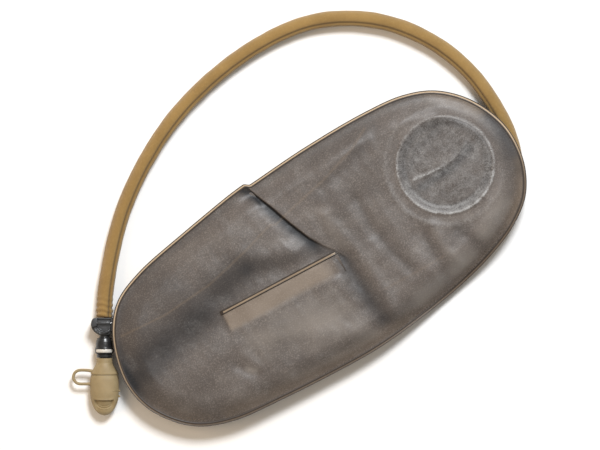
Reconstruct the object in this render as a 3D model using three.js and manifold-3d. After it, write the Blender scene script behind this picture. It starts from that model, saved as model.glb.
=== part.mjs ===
// A soft drinking-water reservoir of the kind carried in a pack, with its drink tube and bite valve.
// Millimetres, +Z up. It lies face down: the screw cap and the outlet elbow rest on the surface at
// z = 0 and the plain back film is uppermost. +X runs along the bag towards the filler, and the
// origin is under the middle of the bag. The drink tube leaves the outlet, runs forward under the
// bag, comes out past the filler, and loops back along the surface to the mouthpiece.
import * as THREE from "three";
import { mergeVertices } from "three/addons/utils/BufferGeometryUtils.js";
import Module from "manifold-3d";

const wasm = await Module();
wasm.setup();

// ---------------------------------------------------------------- driving dimensions

const BAG_LENGTH = 434.8;
const FILM = 0.8;
const FILM_GAP = 0.3; // between the two films along the weld
const WELD_WIDTH = 5;
const RIM_Z = 20; // the weld's usual height
const POUCH = 7.2; // how far the back film stands above the front film, inside the weld
const POUCH_SLOPE = 22; // the distance over which it rises

const CAP_X = 148.5;
const CAP_Y = 11.4;
const NECK_OUTER = 46.3;
const NECK_INNER = 43.5;
const NECK_BOTTOM = 4.6;
const NECK_TOP = 24.5;
const FILLER_FLANGE = 55;
const CAP_PITCH = 4.4; // one turn of the thread
const CAP_TURNS = 1.25;
const GRIP_BAR = 16;

const OUTLET_X = -151.5;
const OUTLET_Y = 1.8;
const PORT_BORE = 6.1;
const PORT_OUTER = 9.8;
const PLUG_RADIUS = 5.8;
const POPPET_TRAVEL = 3;

const HOSE_RADIUS = 4.75;
const HOSE_BORE = 3.2;
const SLEEVE_RADIUS = 7.7;
const SLEEVE_BORE = 5.7;
const TUBE_Z = SLEEVE_RADIUS + 0.1;

const MOUTH_X = -200;
const MOUTH_Y = 67.9;
const MOUTH_TURN = THREE.MathUtils.degToRad(-33.3);
const MOUTH_Z = 9.8; // the mouthpiece's own axis above the surface
const GAP = 0.3; // between pieces that touch
const ROUND_SIDES = 36; // facets round the filler

// ---------------------------------------------------------------- materials

const finish = (color, roughness, metalness = 0) =>
  new THREE.MeshStandardMaterial({ color, roughness, metalness });

const smokeFilm = finish(0x6d635c, 0.45);
const smokeFilmWeld = finish(0x8f8074, 0.5);
const blackPlastic = finish(0x1b1b1d, 0.35);
const greyPlastic = finish(0x3c3d40, 0.45);
const creamPlastic = finish(0xcfc6b6, 0.4);
const khakiRubber = finish(0xa49067, 0.7);
const clearSilicone = finish(0xc9cfd0, 0.4);
const sealRubber = finish(0x2a2a2a, 0.8);
const hosePlastic = finish(0x5a5148, 0.4);
const coyoteFabric = finish(0x9e7c4b, 0.95);
const springSteel = finish(0xb8babc, 0.3, 1);

// ---------------------------------------------------------------- solids

function solidOf(geometry) {
  const bare = geometry.clone();
  bare.deleteAttribute("normal");
  bare.deleteAttribute("uv");
  const merged = mergeVertices(bare, 1e-4);
  const solid = new wasm.Manifold(
    new wasm.Mesh({
      numProp: 3,
      vertProperties: merged.attributes.position.array,
      triVerts: new Uint32Array(merged.index.array),
    }),
  );
  if (solid.volume() <= 0) throw new Error("a solid is inside out");
  return solid;
}

function geometryOf(solid) {
  const mesh = solid.getMesh();
  const positions = new Float32Array(mesh.numVert * 3);
  for (let i = 0; i < mesh.numVert; i++) {
    const start = i * mesh.numProp;
    positions.set(mesh.vertProperties.subarray(start, start + 3), i * 3);
  }
  const geometry = new THREE.BufferGeometry();
  geometry.setAttribute("position", new THREE.BufferAttribute(positions, 3));
  geometry.setIndex(new THREE.BufferAttribute(new Uint32Array(mesh.triVerts), 1));
  return geometry;
}

const join = (base, ...others) =>
  geometryOf(others.reduce((sum, other) => sum.add(solidOf(other)), solidOf(base)));

const cut = (base, ...tools) =>
  geometryOf(tools.reduce((rest, tool) => rest.subtract(solidOf(tool)), solidOf(base)));

const overlapOf = (a, b) => geometryOf(solidOf(a).intersect(solidOf(b)));

// A turned piece about Y: its profile is [radius, height] pairs from the bottom up.
const turned = (profile, sides) =>
  new THREE.LatheGeometry(
    profile.map(([radius, height]) => new THREE.Vector2(radius, height)),
    sides,
  );

// The same about Z.
const turnedAboutZ = (profile, sides) => turned(profile, sides).rotateX(Math.PI / 2);

// A ring of rectangular section about Z. The profile closes on itself.
function ringAboutZ(inner, outer, bottom, top, sides) {
  const section = [[inner, bottom], [outer, bottom], [outer, top], [inner, top], [inner, bottom]];
  return turnedAboutZ(section, sides);
}

function ringAboutY(inner, outer, bottom, top, sides) {
  return ringAboutZ(inner, outer, bottom, top, sides).rotateX(-Math.PI / 2);
}

// A round rubber ring about Z, centred at the given height.
const roundRing = (radius, thickness, height) =>
  new THREE.TorusGeometry(radius, thickness, 6, 20).translate(0, 0, height);

const rodAboutY = (radius, bottom, top, sides) =>
  new THREE.CylinderGeometry(radius, radius, top - bottom, sides).translate(
    0,
    (bottom + top) / 2,
    0,
  );

const rodAboutZ = (radius, bottom, top, sides) =>
  rodAboutY(radius, bottom, top, sides).rotateX(Math.PI / 2);

const rodAboutX = (radius, left, right, sides) =>
  rodAboutY(radius, left, right, sides).rotateZ(-Math.PI / 2);

// A block given by its lowest and highest corners.
const block = (low, high) =>
  new THREE.BoxGeometry(high[0] - low[0], high[1] - low[1], high[2] - low[2]).translate(
    (low[0] + high[0]) / 2,
    (low[1] + high[1]) / 2,
    (low[2] + high[2]) / 2,
  );

// An upright slab of an outline in XY.
const slab = (outline, bottom, top) =>
  new THREE.ExtrudeGeometry(outline, {
    depth: top - bottom,
    bevelEnabled: false,
    curveSegments: 12,
  }).translate(0, 0, bottom);

function regularSection(radius, sides) {
  const corners = [];
  for (let i = 0; i < sides; i++) {
    const angle = (i * 2 * Math.PI) / sides;
    corners.push(new THREE.Vector2(radius * Math.cos(angle), radius * Math.sin(angle)));
  }
  return new THREE.Shape(corners);
}

// A round bar, or a hose where a bore is given, along a curve.
function alongCurve(curve, radius, sides, steps, bore = 0) {
  const section = regularSection(radius, sides);
  if (bore) section.holes.push(regularSection(bore, sides));
  return new THREE.ExtrudeGeometry(section, { extrudePath: curve, steps, bevelEnabled: false });
}

function roundedBox(halfX, halfY, corner) {
  const outline = new THREE.Shape();
  outline.moveTo(-halfX + corner, -halfY);
  outline.lineTo(halfX - corner, -halfY);
  outline.quadraticCurveTo(halfX, -halfY, halfX, -halfY + corner);
  outline.lineTo(halfX, halfY - corner);
  outline.quadraticCurveTo(halfX, halfY, halfX - corner, halfY);
  outline.lineTo(-halfX + corner, halfY);
  outline.quadraticCurveTo(-halfX, halfY, -halfX, halfY - corner);
  outline.lineTo(-halfX, -halfY + corner);
  outline.quadraticCurveTo(-halfX, -halfY, -halfX + corner, -halfY);
  return outline;
}

// ---------------------------------------------------------------- the scene graph

const reservoir = new THREE.Group();

const filler = new THREE.Group();
filler.position.set(CAP_X, CAP_Y, 0);
reservoir.add(filler);

const outlet = new THREE.Group();
outlet.position.set(OUTLET_X, OUTLET_Y, 0);
reservoir.add(outlet);

// The mouthpiece's own frame: the sleeve ends at its origin and -Y runs out to the tip.
const mouthpiece = new THREE.Group();
mouthpiece.position.set(MOUTH_X, MOUTH_Y, MOUTH_Z);
mouthpiece.rotation.z = MOUTH_TURN;
reservoir.add(mouthpiece);

function place(name, geometry, material, group) {
  const mesh = new THREE.Mesh(geometry, material);
  mesh.name = name;
  group.add(mesh);
}

// ---------------------------------------------------------------- the bag

// The bag's outline is a smooth closed curve through these points, from the foot end's tip round
// by the -Y edge. The filler end is fuller at +Y, and both -Y shoulders are slimmer.
const OUTLINE = [
  [-BAG_LENGTH / 2, 2], [-213.5, -25], [-200, -49.5], [-181, -68], [-150, -81.5], [-100, -89.7],
  [-50, -95.5], [0, -99.2], [50, -97.6], [100, -92.3], [140, -82.7], [170, -71], [193, -54.5],
  [210, -28], [BAG_LENGTH / 2, 2], [213, 28], [199.5, 55], [178, 76.5], [150, 89], [110, 95.2],
  [50, 98.4], [0, 99.2], [-50, 97.9], [-100, 93], [-150, 85.5], [-180, 74.4], [-199, 57], [-212.5, 33],
];
const FOOT_TIP = 0; // the two tips' places in the list
const HEAD_TIP = 14;

// The edges between the tips, as fine runs of points with rising x.
function outlineEdges() {
  const points = OUTLINE.map(([x, y]) => new THREE.Vector3(x, y, 0));
  const curve = new THREE.CatmullRomCurve3(points, true, "centripetal");
  const run = (from, to) => {
    const edge = [];
    const steps = 600;
    for (let i = 0; i <= steps; i++) {
      const place = THREE.MathUtils.lerp(from, to, i / steps) / OUTLINE.length;
      edge.push(curve.getPoint(place));
    }
    return edge;
  };
  return { lower: run(FOOT_TIP, HEAD_TIP), upper: run(OUTLINE.length, HEAD_TIP) };
}

const edges = outlineEdges();

function edgeAt(x, edge) {
  const next = Math.max(1, edge.findIndex((point) => point.x >= x));
  const [from, to] = [edge[next - 1], edge[next]];
  return THREE.MathUtils.lerp(from.y, to.y, (x - from.x) / (to.x - from.x));
}

const upperEdge = (x) => edgeAt(x, edges.upper);
const lowerEdge = (x) => edgeAt(x, edges.lower);

const outlineSamples = [...edges.lower, ...edges.upper]
  .filter((point, i) => i % 5 === 0)
  .map((point) => new THREE.Vector2(point.x, point.y));

function rimDistance(x, y) {
  const here = new THREE.Vector2(x, y);
  return Math.min(...outlineSamples.map((sample) => sample.distanceTo(here)));
}

const smoothStep = (from, to, value) => THREE.MathUtils.smoothstep(value, from, to);

// The weld's height. The edge beside the filler at -Y droops almost to the surface, and the edge
// over the lock is held up by it.
function rimHeight(x, y) {
  const droop = 11.5 * Math.exp(-(((x - 92) / 62) ** 2)) * smoothStep(62, 100, -y);
  const lift = 2.5 * Math.exp(-(((x + 150) / 60) ** 2)) * smoothStep(40, 95, -y);
  const overLock = 1.5 * Math.exp(-((x + 198) ** 2 + (y - 60) ** 2) / 24 ** 2);
  return RIM_Z - droop + lift + overLock;
}

// The back film stands up from the weld as a shallow pouch.
function pouchHeight(x, y) {
  return POUCH * smoothStep(WELD_WIDTH, WELD_WIDTH + POUCH_SLOPE, rimDistance(x, y));
}

// A film of even thickness over the bag's outline. underside(x, y) is its lower face. The grid's
// rows run along the bag and its columns across it, both closer together towards the rim.
function filmSheet(underside) {
  const columns = 32;
  const rows = 12;
  const spread = (i, count) => (1 - Math.cos((Math.PI * i) / count)) / 2;
  const positions = [];
  for (const thickness of [0, FILM]) {
    for (let i = 0; i <= columns; i++) {
      const x = (spread(i + 0.5, columns + 1) - 0.5) * BAG_LENGTH;
      for (let j = 0; j <= rows; j++) {
        const y = THREE.MathUtils.lerp(lowerEdge(x), upperEdge(x), spread(j, rows));
        positions.push(x, y, underside(x, y) + thickness);
      }
    }
  }
  const layer = (columns + 1) * (rows + 1);
  const at = (i, j) => i * (rows + 1) + j;
  const faces = [];
  const quad = (a, b, c, d) => faces.push(a, b, c, a, c, d);
  for (let i = 0; i < columns; i++) {
    for (let j = 0; j < rows; j++) {
      const corners = [at(i, j), at(i + 1, j), at(i + 1, j + 1), at(i, j + 1)];
      quad(...corners.map((corner) => corner + layer));
      quad(...corners.reverse());
    }
    quad(at(i, 0), at(i + 1, 0), at(i + 1, 0) + layer, at(i, 0) + layer);
    quad(at(i + 1, rows), at(i, rows), at(i, rows) + layer, at(i + 1, rows) + layer);
  }
  for (let j = 0; j < rows; j++) {
    quad(at(0, j + 1), at(0, j), at(0, j) + layer, at(0, j + 1) + layer);
    quad(at(columns, j), at(columns, j + 1), at(columns, j + 1) + layer, at(columns, j) + layer);
  }
  const sheet = new THREE.BufferGeometry();
  sheet.setAttribute("position", new THREE.Float32BufferAttribute(positions, 3));
  sheet.setIndex(faces);
  return sheet;
}

const FRONT_TOP = RIM_Z - FILM_GAP / 2; // the front film's upper face where the bag lies level
const BACK_BOTTOM = RIM_Z + FILM_GAP / 2 + POUCH;

function frontFilm() {
  const sheet = filmSheet((x, y) => rimHeight(x, y) - FILM_GAP / 2 - FILM);
  const fillerHole = rodAboutZ(NECK_OUTER + GAP, 0, RIM_Z + 10, 48).translate(CAP_X, CAP_Y, 0);
  const outletHole = rodAboutZ(PORT_OUTER + GAP, 0, RIM_Z + 10, 24).translate(OUTLET_X, OUTLET_Y, 0);
  return cut(sheet, fillerHole, outletHole);
}

const backFilm = () =>
  filmSheet((x, y) => rimHeight(x, y) + FILM_GAP / 2 + pouchHeight(x, y));

place("back_film", backFilm(), smokeFilm, reservoir);
place("front_film", frontFilm(), smokeFilm, reservoir);

// The centre baffle ties the two films together: a strip with a flange welded to each of them and
// a web between, so the full bag stays flat.
const BAFFLE_LENGTH = 123;
const BAFFLE_FLANGE = 19;
const BAFFLE_X = -43;
const BAFFLE_Y = -4.5;
const BAFFLE_TURN = THREE.MathUtils.degToRad(-5.4);

function centreBaffle() {
  const bottom = FRONT_TOP + GAP;
  const top = BACK_BOTTOM - GAP;
  const near = -BAFFLE_FLANGE / 2;
  const far = BAFFLE_FLANGE / 2;
  const section = new THREE.Shape([
    new THREE.Vector2(near, bottom),
    new THREE.Vector2(far, bottom),
    new THREE.Vector2(far, bottom + FILM),
    new THREE.Vector2(near + FILM, bottom + FILM),
    new THREE.Vector2(near + FILM, top - FILM),
    new THREE.Vector2(far, top - FILM),
    new THREE.Vector2(far, top),
    new THREE.Vector2(near, top),
  ]);
  return new THREE.ExtrudeGeometry(section, { depth: BAFFLE_LENGTH, bevelEnabled: false })
    .translate(0, 0, -BAFFLE_LENGTH / 2)
    .rotateX(Math.PI / 2)
    .rotateZ(-Math.PI / 2)
    .rotateZ(BAFFLE_TURN)
    .translate(BAFFLE_X, BAFFLE_Y, 0);
}

place("centre_baffle", centreBaffle(), smokeFilmWeld, reservoir);

// ---------------------------------------------------------------- the filler and its cap

const FLANGE_BOTTOM = FRONT_TOP + GAP;
const THREAD_HEIGHT = 0.9;

// The neck's thread, a rounded rib that climbs once and a quarter round it.
function neckThread() {
  const points = [];
  const steps = 30;
  for (let i = 0; i <= steps; i++) {
    const angle = (i / steps) * CAP_TURNS * 2 * Math.PI;
    points.push(
      new THREE.Vector3(
        NECK_OUTER * Math.cos(angle),
        NECK_OUTER * Math.sin(angle),
        NECK_BOTTOM + 1.4 + (i / steps) * CAP_TURNS * CAP_PITCH,
      ),
    );
  }
  return alongCurve(new THREE.CatmullRomCurve3(points), THREAD_HEIGHT, 4, steps);
}

// The neck with the wide flange that is welded inside the front film.
function fillPort() {
  const profile = [
    [NECK_INNER, NECK_BOTTOM],
    [NECK_OUTER, NECK_BOTTOM],
    [NECK_OUTER, FLANGE_BOTTOM],
    [FILLER_FLANGE, FLANGE_BOTTOM],
    [FILLER_FLANGE, FLANGE_BOTTOM + 0.7],
    [NECK_OUTER + 1, FLANGE_BOTTOM + 1.6],
    [NECK_OUTER - 0.4, NECK_TOP],
    [NECK_INNER + 0.4, NECK_TOP],
    [NECK_INNER, NECK_TOP - 0.6],
    [NECK_INNER, NECK_BOTTOM],
  ];
  return join(turnedAboutZ(profile, ROUND_SIDES), neckThread());
}

const CAP_SKIRT_INNER = NECK_OUTER + THREAD_HEIGHT + 0.5;
const CAP_SKIRT_OUTER = CAP_SKIRT_INNER + 1.6;
const CAP_SKIRT_TOP = 16;
const CAP_RIM = CAP_SKIRT_OUTER + 3;
const CAP_PLUG_OUTER = NECK_INNER - 0.5;
const CAP_PLUG_INNER = CAP_PLUG_OUTER - 1.8;
const CAP_PAN_TOP = 13;
const CAP_PAN_BOTTOM = 11;

// The screw cap: a skirt outside the neck, a plug inside it, and a pan between two finger hollows
// with the grip bar standing across them.
function fillCap() {
  const profile = [
    [0, CAP_PAN_BOTTOM],
    [CAP_PLUG_INNER, CAP_PAN_BOTTOM],
    [CAP_PLUG_INNER, 1],
    [CAP_PLUG_INNER + 1, 0],
    [CAP_RIM - 1, 0],
    [CAP_RIM, 1],
    [CAP_RIM, 3.4],
    [CAP_SKIRT_OUTER, 4.2],
    [CAP_SKIRT_OUTER, 14.4],
    [CAP_SKIRT_OUTER + 0.9, 15],
    [CAP_SKIRT_OUTER, CAP_SKIRT_TOP],
    [CAP_SKIRT_INNER, CAP_SKIRT_TOP],
    [CAP_SKIRT_INNER, 2.8],
    [CAP_PLUG_OUTER, 2.8],
    [CAP_PLUG_OUTER, CAP_PAN_TOP],
    [0, CAP_PAN_TOP],
  ];
  const bar = overlapOf(
    block([-CAP_PLUG_INNER - 0.8, -GRIP_BAR / 2, 0], [CAP_PLUG_INNER + 0.8, GRIP_BAR / 2, 11.5]),
    rodAboutZ(CAP_PLUG_INNER + 0.8, 0, 12, ROUND_SIDES),
  );
  const notches = [];
  const notchCount = 12;
  for (let i = 0; i < notchCount; i++) {
    const angle = ((i + 0.5) * 2 * Math.PI) / notchCount;
    const notch = rodAboutZ(3, -1, 3.9, 8);
    notches.push(notch.translate((CAP_RIM + 1.9) * Math.cos(angle), (CAP_RIM + 1.9) * Math.sin(angle), 0));
  }
  return cut(join(turnedAboutZ(profile, ROUND_SIDES), bar), ...notches);
}

const capGasket = () => ringAboutZ(NECK_INNER - 0.1, NECK_OUTER + 0.3, 3.1, NECK_BOTTOM - GAP, ROUND_SIDES);

// The cap hangs from a loose ring round its skirt, and the ring from a strap on the neck's own ring.
const TETHER_WIDTH = 12;
const TETHER_TURN = THREE.MathUtils.degToRad(152);
const NECK_RING_BOTTOM = 16.4;
const NECK_RING_TOP = 18.7;
const CAP_RING_BOTTOM = 4.6;
const CAP_RING_TOP = 7;
const CAP_RING_OUTER = CAP_SKIRT_OUTER + 2.6;

const capTetherRing = () =>
  ringAboutZ(CAP_SKIRT_OUTER + GAP, CAP_RING_OUTER, CAP_RING_BOTTOM, CAP_RING_TOP, ROUND_SIDES);

// The strap doubles back on itself: out from the neck ring, round, and back to the cap ring.
function capTether() {
  const neckRing = ringAboutZ(NECK_OUTER + GAP, NECK_OUTER + 2.8, NECK_RING_BOTTOM, NECK_RING_TOP, ROUND_SIDES);
  const reach = 78;
  const middle = (NECK_RING_TOP + CAP_RING_BOTTOM) / 2;
  const outerBend = (NECK_RING_TOP - CAP_RING_BOTTOM) / 2;
  const section = new THREE.Shape();
  section.moveTo(NECK_OUTER + 1.5, NECK_RING_TOP);
  section.lineTo(NECK_OUTER + 1.5, NECK_RING_BOTTOM);
  section.lineTo(reach, NECK_RING_BOTTOM);
  section.absarc(reach, middle, NECK_RING_BOTTOM - middle, Math.PI / 2, -Math.PI / 2, true);
  section.lineTo(CAP_RING_OUTER + GAP, CAP_RING_TOP);
  section.lineTo(CAP_RING_OUTER + GAP, CAP_RING_BOTTOM);
  section.lineTo(reach, CAP_RING_BOTTOM);
  section.absarc(reach, middle, outerBend, -Math.PI / 2, Math.PI / 2, false);
  const strap = new THREE.ExtrudeGeometry(section, {
    depth: TETHER_WIDTH,
    bevelEnabled: false,
    curveSegments: 8,
  })
    .translate(0, 0, -TETHER_WIDTH / 2)
    .rotateX(Math.PI / 2)
    .rotateZ(TETHER_TURN);
  return join(neckRing, strap);
}

place("fill_port", fillPort(), blackPlastic, filler);
place("fill_cap", fillCap(), blackPlastic, filler);
place("cap_gasket", capGasket(), clearSilicone, filler);
place("cap_tether_ring", capTetherRing(), sealRubber, filler);
place("cap_tether", capTether(), sealRubber, filler);

// ---------------------------------------------------------------- the outlet

const PORT_BOTTOM = 11.5;
const SEAT_BOTTOM = PORT_BOTTOM + 3.5;
const SEAT_TOP = PORT_BOTTOM + 4.3;
const SEAT_BORE = 4.2;
const PORT_FLANGE = 18;
const PORT_TOP = PORT_BOTTOM + 12.8;
const CROSS_BAR = 1;
const BUTTON_Z = [PORT_BOTTOM + 1.4, PORT_BOTTOM + 5.2];

// The welded socket. The valve seat is a lip in its bore, and a cross bar at the top holds the
// spring. A housing on its -X side holds the release button.
function outletPort() {
  const profile = [
    [PORT_BORE, PORT_BOTTOM],
    [PORT_OUTER, PORT_BOTTOM],
    [PORT_OUTER, FLANGE_BOTTOM],
    [PORT_FLANGE, FLANGE_BOTTOM],
    [PORT_FLANGE, FLANGE_BOTTOM + 1],
    [PORT_OUTER, FLANGE_BOTTOM + 1.6],
    [PORT_BORE + 1.6, PORT_TOP],
    [PORT_BORE, PORT_TOP],
    [PORT_BORE, SEAT_TOP],
    [SEAT_BORE, SEAT_TOP],
    [SEAT_BORE, SEAT_BOTTOM],
    [PORT_BORE, SEAT_BOTTOM],
    [PORT_BORE, PORT_BOTTOM],
  ];
  const crossBar = block(
    [-PORT_BORE - 0.8, -1.2, PORT_TOP - CROSS_BAR],
    [PORT_BORE + 0.8, 1.2, PORT_TOP],
  );
  const housing = slab(roundedBox(5.5, 7.5, 3), PORT_BOTTOM, BUTTON_Z[1] + 1.4);
  housing.translate(-12.2, 0, 0);
  const bore = rodAboutZ(PORT_BORE, 0, SEAT_BOTTOM, 24);
  const pocket = block([-20, -5.2, BUTTON_Z[0] - 0.4], [-10.6, 5.2, BUTTON_Z[1] + 0.4]);
  return cut(join(turnedAboutZ(profile, 24), crossBar, cut(housing, bore)), pocket);
}

function releaseButton() {
  const pad = slab(roundedBox(3.7, 4.8, 1.5), BUTTON_Z[0], BUTTON_Z[1]);
  return pad.translate(-16.9, 0, 0);
}

const PLUG_TOP = SEAT_BOTTOM - GAP;
const NOSE_TOP = SEAT_TOP + 2.9;
const O_RING_Z = PORT_BOTTOM + 1.6;
const SPIGOT_END = 18.5;

// The elbow's plug goes up into the socket, with its rubber ring in a groove, and its spigot goes
// into the hose. One water way runs through both.
function outletElbow() {
  const plug = [
    [0, 2],
    [6.4, 2],
    [7.6, 3.4],
    [7.6, PORT_BOTTOM - GAP],
    [PLUG_RADIUS, PORT_BOTTOM - GAP],
    [PLUG_RADIUS, O_RING_Z - 0.9],
    [4.5, O_RING_Z - 0.9],
    [4.5, O_RING_Z + 0.9],
    [PLUG_RADIUS, O_RING_Z + 0.9],
    [PLUG_RADIUS, PLUG_TOP],
    [3.7, PLUG_TOP],
    [3.4, NOSE_TOP],
    [0, NOSE_TOP],
  ];
  const arm = block([0, -5, 2.6], [12, 5, PORT_BOTTOM - GAP]);
  const shoulder = rodAboutX(6.4, PORT_OUTER + 0.8, 13.4, 20).translate(0, 0, TUBE_Z);
  const spigot = rodAboutX(2.7, 12, SPIGOT_END, 12).translate(0, 0, TUBE_Z);
  const foot = slab(roundedBox(8.4, 6, 3), 0, 3).translate(1.5, 0, 0);
  const riser = rodAboutZ(2, TUBE_Z - 2, NOSE_TOP + 1, 12);
  const lead = rodAboutX(1.7, -1, SPIGOT_END + 1, 12).translate(0, 0, TUBE_Z);
  return cut(join(turnedAboutZ(plug, 24), arm, shoulder, spigot, foot), riser, lead);
}

const POPPET_BOTTOM = NOSE_TOP + GAP;

function outletPoppet() {
  const profile = [
    [0, POPPET_BOTTOM],
    [5.3, POPPET_BOTTOM],
    [5.3, POPPET_BOTTOM + 1.1],
    [2.4, POPPET_BOTTOM + 1.1],
    [2.4, POPPET_BOTTOM + 1.9],
    [0, POPPET_BOTTOM + 1.9],
  ];
  return turnedAboutZ(profile, 24);
}

function poppetSpring() {
  const turns = 2;
  const bottom = POPPET_BOTTOM + 1.8;
  const top = PORT_TOP - CROSS_BAR - 0.6;
  const perTurn = 12;
  const points = [];
  for (let i = 0; i <= turns * perTurn; i++) {
    const angle = (i / perTurn) * 2 * Math.PI;
    const height = THREE.MathUtils.lerp(bottom, top, i / (turns * perTurn));
    points.push(new THREE.Vector3(3.6 * Math.cos(angle), 3.6 * Math.sin(angle), height));
  }
  return alongCurve(new THREE.CatmullRomCurve3(points), 0.35, 6, turns * perTurn);
}

place("outlet_port", outletPort(), blackPlastic, outlet);
place("release_button", releaseButton(), greyPlastic, outlet);
place("outlet_poppet", outletPoppet(), clearSilicone, outlet);
place("poppet_spring", poppetSpring(), springSteel, outlet);
place("outlet_elbow", outletElbow(), blackPlastic, outlet);
place("elbow_o_ring", roundRing(5.2, 0.6, O_RING_Z), sealRubber, outlet);

// ---------------------------------------------------------------- the drink tube

// The route's points run from the outlet to the mouthpiece. The first nine lie under the bag.
const ROUTE = [
  [-137, 1.8], [-120, 1.5], [-90, -4], [-50, -14], [0, -29], [50, -41], [95, -50], [130, -54],
  [162, -52.5], [187, -43], [203, -27], [212, -9], [216.5, 9], [218.7, 30], [218.5, 60],
  [213, 89], [202, 117], [187, 141.5], [169, 162], [148, 178], [124, 191.5], [97, 199.5],
  [69, 203], [40, 203.5], [8, 200.5], [-23, 194.5], [-51, 186], [-79, 173.5], [-104, 160],
  [-125, 146], [-142, 132.5], [-158.5, 117], [-173.5, 101],
];
const STRAIGHT_END = 17; // the tube's last stretch lies along the mouthpiece's axis
const TUBE_STEPS = 40;

function tubeCurve() {
  const points = ROUTE.map(([x, y]) => new THREE.Vector3(x, y, TUBE_Z));
  const end = new THREE.Vector3(MOUTH_X, MOUTH_Y, MOUTH_Z);
  const backward = new THREE.Vector3(-Math.sin(MOUTH_TURN), Math.cos(MOUTH_TURN), 0);
  points.push(end.clone().addScaledVector(backward, STRAIGHT_END), end);
  points.at(-3).z = THREE.MathUtils.lerp(TUBE_Z, MOUTH_Z, 0.5);
  const curve = new THREE.CatmullRomCurve3(points, false, "centripetal");
  curve.arcLengthDivisions = 600;
  return curve;
}

const drinkHose = () => alongCurve(tubeCurve(), HOSE_RADIUS, 8, TUBE_STEPS, HOSE_BORE);
const tubeSleeve = () => alongCurve(tubeCurve(), SLEEVE_RADIUS, 10, TUBE_STEPS, SLEEVE_BORE);

place("drink_hose", drinkHose(), hosePlastic, reservoir);
place("tube_sleeve", tubeSleeve(), coyoteFabric, reservoir);

// ---------------------------------------------------------------- the shut-off lock

const LOCK_LENGTH = 16.2;
const LOCK_LEFT = -12.4;
const LOCK_RIGHT = 8.9;
const LOCK_DECK = 5.5; // above the mouthpiece's axis
const LEVER_Y = -5.2;
const LEVER_Z = 7.95;
const LEVER_DRUM = 2.2;
const CHEEK_TOP = 9.6;

function lockOutline() {
  const outline = new THREE.Shape();
  outline.moveTo(LOCK_RIGHT, -0.5);
  outline.lineTo(-8.5, -0.5);
  outline.bezierCurveTo(-11.4, -0.8, LOCK_LEFT, -3.5, LOCK_LEFT, -7.2);
  outline.bezierCurveTo(LOCK_LEFT, -11.4, -9.6, -14.2, -6, -LOCK_LENGTH);
  outline.lineTo(4.8, -LOCK_LENGTH);
  outline.quadraticCurveTo(LOCK_RIGHT, -13.8, LOCK_RIGHT, -10);
  return outline;
}

// The lock's body holds the end of the hose. A cheek on each side carries the lever's pin.
function lockHousing() {
  const body = slab(lockOutline(), -7.4, CHEEK_TOP);
  const hoseWay = rodAboutY(4.95, -12, 1, 16);
  const barbWay = rodAboutY(5.05, -LOCK_LENGTH - 1, -12.6, 16);
  const throat = rodAboutY(3.4, -13, -11, 12);
  const leverWell = block([-6.8, -LOCK_LENGTH - 1, LOCK_DECK], [6.3, 1, CHEEK_TOP + 1]);
  const underRim = block([6, -LOCK_LENGTH - 1, CHEEK_TOP - 0.9], [LOCK_RIGHT + 1, 1, CHEEK_TOP + 1]);
  const pinWay = rodAboutX(1.15, -10.8, LOCK_RIGHT + 1, 12).translate(0, LEVER_Y, LEVER_Z);
  return cut(body, hoseWay, barbWay, throat, leverWell, underRim, pinWay);
}

const lockPin = () => rodAboutX(0.85, -10.4, LOCK_RIGHT, 12).translate(0, LEVER_Y, LEVER_Z);

// A low rib in the shape of a smile, on the mouthpiece's axis.
function curvedRib(radius, centreX, centreY, height) {
  const points = [];
  for (let i = 0; i <= 8; i++) {
    const angle = -Math.PI / 2 + 0.95 * (i / 4 - 1);
    const x = centreX + radius * Math.cos(angle);
    points.push(new THREE.Vector3(x, centreY + radius * Math.sin(angle), height));
  }
  return alongCurve(new THREE.CatmullRomCurve3(points), 0.45, 6, 8);
}

// The lever is a drum on the pin with a thumb paddle, ribbed across in curves.
function lockLever() {
  const left = -6.4;
  const right = 5.9;
  const drum = rodAboutX(LEVER_DRUM, left, right, 16).translate(0, LEVER_Y, LEVER_Z);
  const paddle = new THREE.Shape();
  paddle.moveTo(left, LEVER_Y);
  paddle.lineTo(left, -10.5);
  paddle.quadraticCurveTo(left + 1.5, -14.6, 0.4, -15.2);
  paddle.quadraticCurveTo(right - 1.5, -14.6, right, -10.5);
  paddle.lineTo(right, LEVER_Y);
  const ribs = [0, 1, 2].map((i) => curvedRib(6.5 - i * 1.2, 0.4, -6.3, LEVER_Z + 1.1));
  const pinHole = rodAboutX(1.1, left - 1, right + 1, 12).translate(0, LEVER_Y, LEVER_Z);
  const lever = join(drum, slab(paddle, LEVER_Z - 1.9, LEVER_Z + 1.1), ...ribs);
  return cut(lever, pinHole);
}

place("lock_housing", lockHousing(), greyPlastic, mouthpiece);
place("lock_pin", lockPin(), springSteel, mouthpiece);
place("lock_lever", lockLever(), greyPlastic, mouthpiece);

// ---------------------------------------------------------------- the coupling

const SOCKET_BORE = 5.7;
const SOCKET_BOTTOM = -34.4;
const SOCKET_SHOULDER = -28.8;
const BUTTON_ENDS = [-33.6, -29.8];
const BUTTON_HALF = 7.8;
const BUTTON_FLOOR = 6.3;
const PRESS_TRAVEL = 0.8;

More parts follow.
